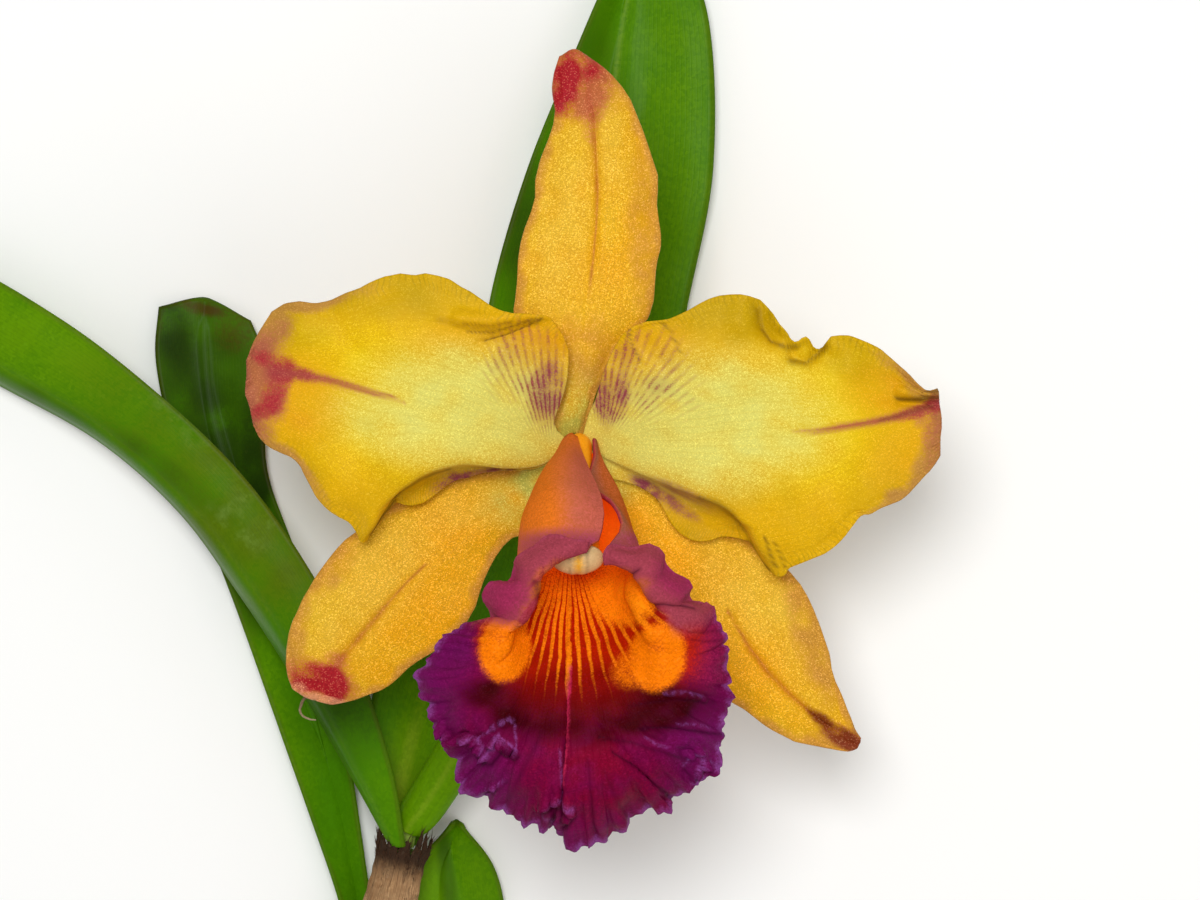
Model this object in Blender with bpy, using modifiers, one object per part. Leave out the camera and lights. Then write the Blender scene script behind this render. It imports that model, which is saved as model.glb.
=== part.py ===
"""A flowering growth of a cattleya orchid, cut and laid on its back with the bloom facing up.

The surface it lies on is z = 0. +Y runs from the cut end of the pseudobulb towards the dorsal
sepal, +X to the viewer's right as the bloom is looked down on. All sizes below are in millimetres.
"""

import math

import bmesh
import bpy
import numpy as np
from mathutils import Vector

MM = 0.001
PLAN_SHIFT = (45.5, 44.5)  # puts the origin under the middle of the whole growth

PETAL_THICKNESS = 0.8
SEPAL_THICKNESS = 1.1
LIP_THICKNESS = 0.7
LEAF_THICKNESS = 2.0
PAPER_THICKNESS = 0.7
SEAT_GAP = 0.3

# How many cells a blade's grid has along and across
PETAL_CELLS = (28, 16)
SEPAL_CELLS = (20, 6)
LEAF_CELLS = (20, 6)
LIP_CELLS_PER_RAY = 4
LIP_CELLS_OUT = 13

# The bloom's middle, where sepals, petals, lip and column meet on the ovary
HUB = (-3.8, 0.5)
OVARY_TOP = 45.0
HUB_RADIUS = 2.3

# The lip's tube: an axis from the hub towards the viewer and down, with a flared mouth
TUBE_START = (-3.8, 0.5, 52.6)
TUBE_END = (-4.0, -19.0, 79.0)
TUBE_RINGS = ((0.0, 3.1), (5.0, 4.5), (12.0, 7.0), (19.5, 8.8), (26.0, 9.9))  # distance, radius
LEFT_WRAP = 213.0  # degrees round from the throat floor to the left flap's free edge
RIGHT_WRAP = 120.0
COLUMN_REACH = 33.5  # the column's length along the tube's axis
COLUMN_RADII = ((0, 2.3), (4, 2.4), (9, 2.6), (15, 2.9), (21, 3.2), (27, 3.5), (COLUMN_REACH, 3.6))
CAP_HALF_SIZES = (4.0, 3.2, 2.4)  # the anther cap: to the side, to the roof, ahead
FLOOR_RAY = 11  # the ray down the middle of the throat
LIP_WAVE = 1.15
PETAL_WAVE = 0.8
SEPAL_WAVE = 0.35

# The pseudobulb: its apex, its cut end, and its radius along the way
BULB_APEX = (-37.8, -76.4, 10.0)
BULB_CUT = (-64.0, -193.0, 6.2)
BULB_RADII = ((0, 3.4), (10, 3.9), (20, 5.2), (40, 8.0), (60, 9.2), (80, 8.8), (100, 7.6), (119.5, 6.1))
BULB_NODES = (28.0, 62.0, 94.0)  # the raised rings of old leaf scars
BULB_RING = 0.35
BULB_SIDES = 16
BRACT_SPAN = (2.5, 34.0)  # where the papery bract starts and ends, from the apex
BRACT_WRAP = 88.0  # degrees to either side of the bulb's upper side
SHEATH_WRAP = 105.0  # degrees to either side of the stalk's upper side

# Each blade is a set of rails from its base to its tip, side by side from one edge to the other
LEFT_PETAL = (
    ((-6.5, -0.7, 50), (-10.9, -3.8, 49.2), (-17.3, -4.4, 48), (-24, -5.5, 47), (-29.9, -8.6, 47),
     (-35.6, -9.8, 48), (-43, -16.5, 50), (-50.1, -10.1, 53.5), (-57.1, -1.1, 54), (-62.5, 4.5, 53)),
    ((-6.7, 0, 50.3), (-11.2, -2.5, 53), (-17.1, -2.9, 55.5), (-24.2, -2.2, 57), (-30.5, -3.6, 57.5),
     (-35.9, -6.8, 56.5), (-41, -10.4, 55), (-47.6, -4, 56), (-55.4, 3.2, 55.5), (-63.1, 7.6, 53.5)),
    ((-6.9, 0.7, 50.6), (-13, 2.3, 53.5), (-18.7, 4.1, 56), (-24.8, 5.9, 57.5), (-30.8, 7.5, 58),
     (-37.3, 9.1, 58), (-44.1, 11.1, 57.5), (-51, 12.8, 56.5), (-57.4, 13.9, 55), (-63.9, 10.5, 53.5)),
    ((-6.7, 1.4, 50.6), (-10.6, 6.8, 54), (-13.1, 12.9, 57), (-17.9, 16.8, 59), (-24.1, 18.8, 60),
     (-31.5, 20.4, 60), (-40.8, 20, 59.5), (-49.8, 19.7, 58), (-57.5, 18.3, 56), (-63.7, 13, 53.5)),
    ((-6.5, 2.2, 50.4), (-7, 9, 54.5), (-5.6, 17.6, 58), (-9.8, 24.3, 60), (-20, 26.3, 60.5),
     (-30, 31.8, 59.5), (-41.9, 29.7, 59), (-53.2, 26.3, 58), (-60.6, 22.3, 56), (-63.7, 15.9, 53.5)),
)
RIGHT_PETAL = (
    ((-1.3, -0.9, 50), (2.9, -5.3, 49.2), (9.5, -7.7, 48), (14.9, -15.5, 47.5), (21.1, -16, 48),
     (31.6, -22.8, 52), (40, -19.3, 54), (47.9, -11.7, 55), (55.4, -7.9, 55), (61.3, -1.4, 54)),
    ((-1.1, -0.2, 50.3), (5.8, -3.2, 53), (12.2, -5.9, 55.5), (17.9, -8.1, 57), (22.8, -10.2, 57.5),
     (27.3, -13.5, 57), (34.1, -12.6, 56.5), (43.1, -8.1, 56), (52.2, -1.8, 55.5), (61.3, 1.8, 54)),
    ((-0.9, 0.7, 50.6), (5.4, 1.8, 53.5), (11.7, 2.2, 56), (18.8, 2.5, 57.5), (26.9, 2.9, 58),
     (34.9, 3.4, 58), (42.1, 4.1, 57.5), (48.5, 5.2, 56.5), (54.9, 7, 55), (61.5, 5.4, 54)),
    ((-1.1, 1.4, 50.6), (2.2, 6.3, 54), (6.3, 11.7, 57), (11.6, 14.3, 59), (18.8, 15.7, 60),
     (26.8, 16.4, 60), (34.9, 14.3, 59.5), (43, 12.9, 58), (52.1, 11.5, 56), (60.9, 9.6, 54)),
    ((-1.4, 2.4, 50.4), (-0.4, 8.6, 54.5), (0.7, 15.1, 57), (3.9, 20.6, 59), (12.9, 23.4, 60),
     (23.9, 28.4, 60.5), (34, 20.2, 59), (43.3, 21, 58.5), (53.5, 15.4, 56.5), (60.6, 11, 54)),
)
DORSAL_SEPAL = (
    ((-6.7, 3.3, 47.8), (-7.8, 7.6, 50), (-10, 13.6, 51), (-13.2, 20.3, 51.5), (-15, 30.2, 51.5),
     (-13.2, 42.5, 51), (-10.9, 52.9, 50.5), (-8.5, 63.5, 49.5), (-7.3, 71.6, 48)),
    ((-4.8, 3.3, 48), (-4.3, 8.1, 51), (-3.3, 14.5, 52.5), (-2.5, 21.7, 53), (-1.8, 29.8, 53),
     (-0.5, 42.4, 53), (-0.5, 52.4, 52.5), (-1.4, 62.5, 51), (-4.7, 72.7, 48.5)),
    ((-2.9, 3.3, 47.8), (-1.5, 7.6, 50), (1.1, 13.4, 51), (5.8, 19.9, 51.5), (10.3, 29.8, 51.5),
     (10.9, 42.5, 51), (9.8, 52.5, 50.5), (4.5, 64.9, 49.5), (-2.2, 71.6, 48)),
)
LEFT_SEPAL = (
    ((-7.5, 0.5, 47.8), (-14.6, -3.5, 44.6), (-22.8, -4.4, 43.5), (-32, -6.9, 43), (-41.2, -12.3, 43),
     (-49.4, -19.6, 43), (-55, -28.4, 42.5), (-57.4, -36.7, 41.5), (-55.7, -44.1, 40.5)),
    ((-6.4, -1.1, 48), (-13.7, -7.3, 46.5), (-20.1, -11.5, 45.5), (-27, -16.8, 45), (-33.8, -22.8, 45),
     (-40.2, -29.8, 44.5), (-45.7, -36.2, 44), (-50.3, -41.6, 43), (-54, -45.2, 41)),
    ((-5.3, -2.5, 47.8), (-11.9, -11.9, 46), (-16.4, -16.1, 44.5), (-21, -21.6, 44),
     (-24.2, -29.6, 43.5), (-29.7, -35.7, 43), (-36.3, -41.6, 42.5), (-44.4, -45.7, 41.5),
     (-51.8, -46.3, 40.5)),
)
RIGHT_SEPAL = (
    ((-0.2, 0, 47.8), (7.3, -5.1, 44.6), (16.4, -9.1, 43.5), (24.7, -14.6, 43), (32, -20.1, 43),
     (37.2, -26, 43), (40.7, -33.9, 42.5), (43.6, -44, 42), (47.9, -52.8, 41.5)),
    ((-1.5, -1.6, 48), (4.6, -9.1, 46.5), (10, -15.5, 45.5), (16.4, -22.8, 45), (22.8, -30.7, 45),
     (28.7, -38, 44.5), (33.8, -43.9, 44), (39.9, -49.1, 43), (47.5, -53.8, 41.5)),
    ((-2.9, -2.9, 47.8), (1.5, -12.8, 46), (4, -20.1, 44.5), (8.2, -28.3, 44), (13.2, -35.7, 43.5),
     (19.2, -43, 43), (26.6, -47.6, 42.5), (35.8, -53.2, 42), (46.2, -55.2, 41.5)),
)
TOP_LEAF = (
    ((-38.8, -75.5, 6.4), (-38.2, -62.3, 9.5), (-32.2, -40.2, 10), (-26.5, -15.3, 9), (-23, 9.6, 9),
     (-20.7, 29.7, 9), (-13.4, 54.7, 9), (-2.9, 80.3, 8), (6.6, 102.3, 4.5)),
    ((-37, -75.6, 6.1), (-34.3, -63.6, 6), (-24.2, -43.5, 3), (-14.5, -18.4, 1.5), (-7.4, 6.8, 0.9),
     (-2.9, 29.5, 0.9), (1.2, 55.3, 0.9), (4.3, 82.4, 0.9), (9.3, 104.6, 1.8)),
    ((-35, -75.9, 6.3), (-29.6, -64.4, 7), (-13.9, -46.3, 5.5), (1, -21.2, 5), (11.2, 3.9, 5),
     (16.8, 28.9, 4.5), (21.6, 55, 4.5), (20.5, 84, 4), (12.4, 102.9, 3)),
)
LEFT_LEAF = (
    ((-37.3, -75.3, 14.4), (-39.8, -59.6, 19), (-46.7, -38.6, 22), (-56.2, -20.7, 22),
     (-67.9, -4.7, 21), (-83.2, 10, 20), (-102.3, 24.6, 18), (-125.9, 37.2, 13), (-148.7, 40.8, 6)),
    ((-38.5, -75.3, 13.8), (-45.5, -60.7, 17), (-55.8, -40.7, 19), (-65.9, -24.6, 19),
     (-77.7, -9.5, 18), (-93.5, 4.2, 16), (-113.6, 16, 12.5), (-136.4, 27.3, 8), (-152.3, 36.3, 3.5)),
    ((-39.9, -75.2, 13.4), (-47.3, -62, 13), (-59, -42.5, 10.5), (-69, -27.2, 9.5),
     (-80.5, -11.7, 9.5), (-96.2, 1.9, 7), (-116.4, 13, 3), (-138.6, 24.8, 0.3), (-152.4, 33, 0.6)),
)
BACK_LEAF = (
    ((-46.1, -101, 1.9), (-49.2, -94.3, 3), (-50.4, -86, 5), (-56.9, -67.1, 5), (-63.3, -49.2, 4.5),
     (-70.2, -29.9, 4.5), (-77.2, -11.6, 4), (-82.7, 3.9, 4), (-85.5, 17.4, 4), (-85.1, 27.5, 3)),
    ((-43.4, -101.4, 1.2), (-46, -94, 1.5), (-47.4, -85.5, 2.2), (-51.7, -64.9, 1.5), (-57.2, -46.5, 0.9),
     (-63.6, -27.1, 0.9), (-70.8, -7.8, 0.9), (-75.2, 6.8, 0.9), (-76.6, 19.4, 0.9), (-76.5, 29.1, 1.5)),
    ((-40.8, -101, 1.7), (-42.8, -94, 2.3), (-44.5, -86, 3.5), (-47.7, -64.7, 4), (-51.2, -44.4, 4),
     (-57, -25.1, 4), (-64.1, -5.8, 4), (-64.9, 5.8, 4), (-64.5, 16.4, 4), (-67.7, 24.8, 3)),
)
LOW_LEAF = (
    ((-37.8, -121, 6.8), (-35, -111, 4.2), (-35.2, -100, 3), (-36.3, -90, 2.5), (-34.8, -80, 3),
     (-28.8, -72.7, 3)),
    ((-38.6, -124, 6.3), (-32.8, -115, 2.8), (-30.5, -103, 0.9), (-29.5, -91, 0.9), (-29.3, -80, 0.9),
     (-27.9, -72, 1.8)),
    ((-39.4, -127, 6.8), (-30, -119, 3.8), (-22.5, -105, 3.2), (-18.8, -92, 3), (-20.6, -81, 3),
     (-26.8, -72.5, 2.6)),
)

# The lip's free margin, from the left flap's end round the bottom to the right flap's end,
# and the crest inside it, where the lobes roll over
LIP_MARGIN = (
    (-1.4, -15.7, 86.4), (-6.9, -15, 86.6), (-12.1, -16.8, 85.4), (-16.3, -20.4, 84), (-20.4, -24.6, 82.5),
    (-20.1, -29.1, 81), (-27.8, -33, 79), (-31.4, -40, 77), (-28, -50.5, 75.5), (-22.9, -60.3, 74),
    (-14.5, -64.8, 73.5), (-5.6, -69.9, 73), (3.5, -67, 73.5), (13.2, -61.8, 74), (20.6, -55, 75.5),
    (22.4, -45.3, 77), (21.9, -33, 79.5), (19.8, -27, 81), (16.3, -24.6, 82.5), (13.3, -20.8, 83.5),
    (8.6, -16.1, 85), (3.1, -16.2, 86), (0.7, -18.2, 86.4),
)
LIP_CREST = (
    (-1.7, -17.7, 85), (-6.5, -18.4, 86), (-9.5, -20.1, 86.5), (-11.2, -22.3, 86.5), (-12, -25.5, 86),
    (-13.8, -29.3, 85.5), (-19, -33.6, 85), (-22.8, -39.7, 84.5), (-19.8, -46.6, 84.5),
    (-16.4, -52.6, 84.5), (-11.2, -56, 85), (-5.3, -57.7, 85), (0.9, -56.5, 85), (6.9, -53.8, 84.5),
    (12.1, -49.1, 84.5), (14.7, -42.2, 84.5), (15.2, -35.3, 85), (13.4, -30.1, 85.5), (10.7, -26.8, 86),
    (8.9, -24.1, 86.5), (6.9, -21, 86.5), (3.4, -19.4, 86), (1, -20, 85),
)
# The throat floor between the tube's mouth and the crest, for the rays under the mouth
FIRST_THROAT_RAY = 6
LIP_THROAT = (
    (-15.2, -31.4, 84), (-15.9, -34.5, 83.5), (-13.8, -38.4, 83), (-11.2, -39.8, 82), (-8.3, -39.8, 81.3),
    (-5.2, -39.5, 81), (-1.7, -39.8, 81.3), (1.4, -39.8, 82), (4.3, -38.4, 82.8), (6.4, -35.4, 83.3),
    (7.8, -32.3, 84), (6.9, -28.9, 85),
)

STALK_PATH = (
    (-37.6, -75.7, 10.6), (-36.7, -72.2, 11.2), (-33.4, -67.6, 13.2), (-28, -58.8, 17), (-22.6, -47.1, 22),
    (-17.8, -35.6, 27), (-13, -24.2, 32), (-8.7, -12.9, 36.6), (-5.3, -3.8, 40.6), (-3.9, 0.2, 42.8),
    (-3.8, 0.5, 44.75),
)
STALK_RADIUS = 1.9
OVARY_RADIUS = 2.5


def catmull_weights(count, samples):
    """How much each of count points adds to a smooth curve through them, at samples places."""
    weights = np.zeros((samples, count))
    for row in range(samples):
        spot = row * (count - 1) / (samples - 1)
        first = min(int(spot), count - 2)
        f = spot - first
        parts = (
            -0.5 * f + f * f - 0.5 * f**3,
            1 - 2.5 * f * f + 1.5 * f**3,
            0.5 * f + 2 * f * f - 1.5 * f**3,
            -0.5 * f * f + 0.5 * f**3,
        )
        for index, part in zip(range(first - 1, first + 3), parts):
            if index < 0:
                weights[row, 0] += 2 * part
                weights[row, 1] -= part
            elif index >= count:
                weights[row, -1] += 2 * part
                weights[row, -2] -= part
            else:
                weights[row, index] += part
    return weights


def loft(rails, along, across):
    """Points of the smooth surface through the rails, as [along, across, xyz]."""
    rails = np.array(rails, float)
    return np.einsum(
        "ui,vj,jik->uvk",
        catmull_weights(rails.shape[1], along + 1),
        catmull_weights(rails.shape[0], across + 1),
        rails,
    )


def surface_normals(points):
    down = np.gradient(points, axis=0)
    over = np.gradient(points, axis=1)
    normals = np.cross(over, down)
    return normals / np.linalg.norm(normals, axis=2, keepdims=True)


def material(name, colour, roughness):
    made = bpy.data.materials.new(name)
    made.use_nodes = True
    shader = made.node_tree.nodes["Principled BSDF"]
    shader.inputs["Base Color"].default_value = (*colour, 1)
    shader.inputs["Roughness"].default_value = roughness
    shader.inputs["Metallic"].default_value = 0
    return made


def place(obj, growth, frame, finish):
    """Puts a finished object in the growth's collection, on the shared frame."""
    growth.objects.link(obj)
    obj.parent = frame
    obj.data.materials.append(finish)
    return obj


def sheet(name, points, thickness, growth, frame, finish):
    """A thin blade: a grid laid through the points, split into triangles and thickened."""
    along, across = points.shape[0] - 1, points.shape[1] - 1
    bm = bmesh.new()
    bmesh.ops.create_grid(bm, x_segments=along, y_segments=across, size=0.5)
    for vert in bm.verts:
        u = round((vert.co.x + 0.5) * along)
        v = round((vert.co.y + 0.5) * across)
        vert.co = Vector(points[u, v]) * MM
    bmesh.ops.triangulate(bm, faces=bm.faces, quad_method="FIXED")
    mesh = bpy.data.meshes.new(name)
    bm.to_mesh(mesh)
    bm.free()
    mesh.shade_smooth()
    obj = place(bpy.data.objects.new(name, mesh), growth, frame, finish)
    solid = obj.modifiers.new("thickness", "SOLIDIFY")
    solid.thickness = thickness * MM
    solid.offset = 0
    return obj


def rest_on_surface(obj):
    """Presses whatever would reach under z = 0 flat against the surface."""
    bpy.context.view_layer.update()
    graph = bpy.context.evaluated_depsgraph_get()
    flat = bpy.data.meshes.new_from_object(obj.evaluated_get(graph))
    for vert in flat.vertices:
        vert.co.z = max(vert.co.z, 0)
    obj.modifiers.clear()
    obj.data = flat


def tube(name, path, radii, growth, frame, finish):
    """A round stem through the path's points, with a radius at each."""
    curve = bpy.data.curves.new(name, "CURVE")
    curve.dimensions = "3D"
    curve.bevel_depth = MM
    curve.bevel_resolution = 3
    curve.use_fill_caps = True
    spline = curve.splines.new("POLY")
    spline.points.add(len(path) - 1)
    for point, spot, radius in zip(spline.points, path, radii):
        point.co = (*(MM * c for c in spot), 1)
        point.radius = radius
    return place(bpy.data.objects.new(name, curve), growth, frame, finish)


def smooth_path(points, samples):
    return catmull_weights(len(points), samples) @ np.array(points, float)


def petal(name, rails, waves, growth, frame, finish):
    """A petal with its lower half folded back and a gently waved rim."""
    along, across = PETAL_CELLS
    points = loft(rails, along, across)
    u = np.linspace(0, 1, along + 1)[:, None]
    v = np.linspace(0, 1, across + 1)[None, :]
    rim = np.maximum(np.clip(v * 4 - 3, 0, 1), np.clip(1 - v * 5, 0, 1)) ** 1.5
    away = np.clip(u * 5 - 1, 0, 1)
    phase = 2 * math.pi * waves * u
    points[..., 2] += PETAL_WAVE * rim * away * (np.sin(phase) + 0.5 * np.sin(1.7 * phase + 1))
    sheet(name, points, PETAL_THICKNESS, growth, frame, finish)


def sepal(name, rails, growth, frame, finish):
    """A sepal: a long blade, lightly arched across, with a faintly uneven rim."""
    along, across = SEPAL_CELLS
    points = loft(rails, along, across)
    u = np.linspace(0, 1, along + 1)[:, None]
    rim = np.abs(np.linspace(-1, 1, across + 1))[None, :] ** 3
    points[..., 2] += SEPAL_WAVE * rim * np.sin(2 * math.pi * 4.5 * u)
    sheet(name, points, SEPAL_THICKNESS, growth, frame, finish)


def leaf(name, rails, growth, frame, finish):
    """A stiff leathery leaf folded along its midrib, with a few low places that touch the surface."""
    obj = sheet(name, loft(rails, *LEAF_CELLS), LEAF_THICKNESS, growth, frame, finish)
    rest_on_surface(obj)


def tube_frame():
    """The tube axis: its start, its direction, the side direction and the direction to its roof."""
    start = np.array(TUBE_START)
    forward = np.array(TUBE_END) - start
    forward /= np.linalg.norm(forward)
    side = np.array((1.0, 0, 0))
    roof = np.cross(forward, side)
    roof /= np.linalg.norm(roof)
    return start, forward, side, roof


def lip_rows():
    """Rows of points round the lip, from the column's foot out to the free margin."""
    start, forward, side, roof = tube_frame()
    rays = len(LIP_MARGIN)
    left = -LEFT_WRAP * (1 - np.arange(FLOOR_RAY) / FLOOR_RAY) ** 1.15
    right = RIGHT_WRAP * np.arange(rays - FLOOR_RAY) / (rays - 1 - FLOOR_RAY)
    turn = np.radians(np.concatenate([left, right]))
    rows = []
    for distance, radius in TUBE_RINGS:
        centre = start + distance * forward
        rows.append([centre + radius * (math.sin(a) * side - math.cos(a) * roof) for a in turn])
    throat = (np.array(rows[-1]) + np.array(LIP_CREST)) / 2
    throat[FIRST_THROAT_RAY : FIRST_THROAT_RAY + len(LIP_THROAT)] = LIP_THROAT
    return rows + [throat, LIP_CREST, LIP_MARGIN]


def lip(growth, frame, finish):
    """The lip: side lobes rolled into a tube round the column, and a broad frilled middle lobe."""
    rays = len(LIP_MARGIN) - 1
    around, outward = LIP_CELLS_PER_RAY * rays, LIP_CELLS_OUT
    points = loft(lip_rows(), around, outward)
    ray = np.linspace(0, rays, around + 1)[:, None]
    t = np.linspace(0, 1, outward + 1)[None, :]
    frill = np.clip((t - 0.8) / 0.2, 0, 1) ** 1.3
    ends = np.clip(np.minimum(ray, rays - ray) / 2, 0, 1)
    broad = 0.55 + 0.45 * np.clip((6 - np.abs(ray - FLOOR_RAY)) / 2, 0, 1)
    wave = np.sin(2 * math.pi * ray) + 0.35 * np.sin(2 * math.pi * 0.43 * ray + 1)
    points += (LIP_WAVE * frill * ends * broad * wave)[..., None] * surface_normals(points)
    sheet("lip", points, LIP_THICKNESS, growth, frame, finish)


def column(growth, frame, finish):
    """The column: a short foot on the ovary, bent into the lip's tube and thicker at its tip."""
    start, forward, _, _ = tube_frame()
    path = [(*HUB, OVARY_TOP + SEAT_GAP), (*HUB, 48.0), (*HUB, 50.8)]
    radii = [HUB_RADIUS] * len(path)
    path += [tuple(start + forward * distance) for distance, _ in COLUMN_RADII]
    radii += [radius for _, radius in COLUMN_RADII]
    tube("column", path, radii, growth, frame, finish)


def anther_cap(growth, frame, finish):
    """The cap over the pollen: half an egg on the column's end, wider than it is deep."""
    start, forward, side, roof = tube_frame()
    bm = bmesh.new()
    bmesh.ops.create_uvsphere(bm, u_segments=12, v_segments=8, radius=1)
    every = bm.verts[:] + bm.edges[:] + bm.faces[:]
    cut = bmesh.ops.bisect_plane(
        bm, geom=every, dist=1e-5, plane_co=(0, 0, 0), plane_no=(0, 0, 1), clear_inner=True
    )
    rim = [part for part in cut["geom_cut"] if isinstance(part, bmesh.types.BMEdge)]
    bmesh.ops.contextual_create(bm, geom=rim)
    seat = start + forward * (COLUMN_REACH + SEAT_GAP)
    reach = np.array([size * axis for size, axis in zip(CAP_HALF_SIZES, (side, roof, forward))])
    for vert in bm.verts:
        vert.co = Vector(seat + np.array(vert.co) @ reach) * MM
    bm.normal_update()
    bmesh.ops.recalc_face_normals(bm, faces=bm.faces)
    bmesh.ops.triangulate(bm, faces=bm.faces)
    mesh = bpy.data.meshes.new("anther_cap")
    bm.to_mesh(mesh)
    bm.free()
    mesh.shade_smooth()
    place(bpy.data.objects.new("anther_cap", mesh), growth, frame, finish)


def flower_stalk(growth, frame, finish):
    """The stalk from the pseudobulb's apex, running into the long ovary behind the bloom."""
    samples = 24
    path = smooth_path(STALK_PATH, samples)
    radii = []
    for place_along in np.linspace(0, 1, samples):
        swell = 0.5 - 0.5 * math.cos(math.pi * min(1, max(0, (place_along - 0.45) / 0.4)))
        radii.append(STALK_RADIUS + (OVARY_RADIUS - STALK_RADIUS) * swell)
    tube("flower_stalk", path, radii, growth, frame, finish)


def floral_sheath(growth, frame, finish):
    """The green sheath at the stalk's foot: a trough over the stalk, open underneath."""
    along, across = 12, 8
    whole = smooth_path(STALK_PATH, 49)
    centre = smooth_path(whole[5:25], along + 1)
    ahead = np.gradient(centre, axis=0)
    ahead /= np.linalg.norm(ahead, axis=1, keepdims=True)
    side = np.cross(ahead, (0, 0, 1.0))
    side /= np.linalg.norm(side, axis=1, keepdims=True)
    up = np.cross(side, ahead)
    turn = np.radians(np.linspace(-SHEATH_WRAP, SHEATH_WRAP, across + 1))[None, :, None]
    u = np.linspace(0, 1, along + 1)[:, None, None]
    half_width = 2.7 + 1.3 * np.sin(math.pi * u**0.8) ** 0.8 - 0.1 * u
    depth = 2.65 + 0.5 * u
    points = centre[:, None] + side[:, None] * half_width * np.sin(turn)
    points = points + up[:, None] * depth * np.cos(turn)
    sheet("floral_sheath", points, PAPER_THICKNESS, growth, frame, finish)


def bulb_frame():
    """The pseudobulb's axis: its apex, direction to the cut end, side, upper side and length."""
    apex = np.array(BULB_APEX)
    run = np.array(BULB_CUT) - apex
    length = np.linalg.norm(run)
    run /= length
    side = np.cross((0, 0, 1.0), run)
    side /= np.linalg.norm(side)
    return apex, run, side, np.cross(run, side), length


def bulb_radius(distance):
    """The radius at a distance from the apex, with a low ring at each old leaf scar."""
    places, radii = zip(*BULB_RADII)
    rings = sum(BULB_RING * math.exp(-(((distance - node) / 1.6) ** 2)) for node in BULB_NODES)
    return float(np.interp(distance, places, radii)) + rings


def pseudobulb(growth, frame, finish):
    """The pseudobulb: a turned club with fine ribs, laid down and pressed flat along its underside."""
    apex, run, side, up, length = bulb_frame()
    stops = sorted({*np.linspace(0, length, 22), *BULB_NODES})
    bm = bmesh.new()
    profile = [bm.verts.new((0, 0, 0))]
    profile += [bm.verts.new((bulb_radius(s) * MM, 0, -s * MM)) for s in stops]
    profile += [bm.verts.new((0, 0, -stops[-1] * MM))]
    for a, b in zip(profile, profile[1:]):
        bm.edges.new((a, b))
    mesh = bpy.data.meshes.new("pseudobulb")
    bm.to_mesh(mesh)
    bm.free()
    obj = place(bpy.data.objects.new("pseudobulb", mesh), growth, frame, finish)
    turned = obj.modifiers.new("turn", "SCREW")
    turned.steps = BULB_SIDES
    turned.render_steps = BULB_SIDES
    turned.use_merge_vertices = True
    turned.merge_threshold = 1e-5
    lay_down(obj, apex, run, side, up)


def lay_down(obj, apex, run, side, up):
    """Lays the turned club along its axis, with ribs along it, then presses its underside flat."""
    bpy.context.view_layer.update()
    graph = bpy.context.evaluated_depsgraph_get()
    laid = bpy.data.meshes.new_from_object(obj.evaluated_get(graph))
    half_side = math.pi / BULB_SIDES
    for vert in laid.vertices:
        radius = math.hypot(vert.co.x, vert.co.y) / MM
        angle = math.atan2(vert.co.y, vert.co.x) + half_side
        radius *= 1 + 0.012 * math.cos(4 * angle)
        spot = apex - run * vert.co.z / MM
        spot = spot + radius * (math.sin(angle) * side + math.cos(angle) * up)
        vert.co = Vector((spot[0], spot[1], max(spot[2], 0))) * MM
    obj.modifiers.clear()
    obj.data = laid
    laid.shade_smooth()
    bm = bmesh.new()
    bm.from_mesh(laid)
    bmesh.ops.recalc_face_normals(bm, faces=bm.faces)
    bmesh.ops.triangulate(bm, faces=bm.faces)
    bm.to_mesh(laid)
    bm.free()


def papery_bract(growth, frame, finish):
    """The dry papery bract that clasps the upper side of the pseudobulb below its apex."""
    apex, run, side, up, _ = bulb_frame()
    along, across = 10, 10
    points = np.empty((along + 1, across + 1, 3))
    for i, distance in enumerate(np.linspace(*BRACT_SPAN, along + 1)):
        for j, degrees in enumerate(np.linspace(-BRACT_WRAP, BRACT_WRAP, across + 1)):
            angle = math.radians(degrees)
            radius = bulb_radius(distance) * 1.012 + 0.85 + 0.1 * math.sin(5 * angle + distance / 3)
            spot = apex + run * distance
            points[i, j] = spot + radius * (math.sin(angle) * side + math.cos(angle) * up)
    sheet("pseudobulb_bract", points, PAPER_THICKNESS, growth, frame, finish)


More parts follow.
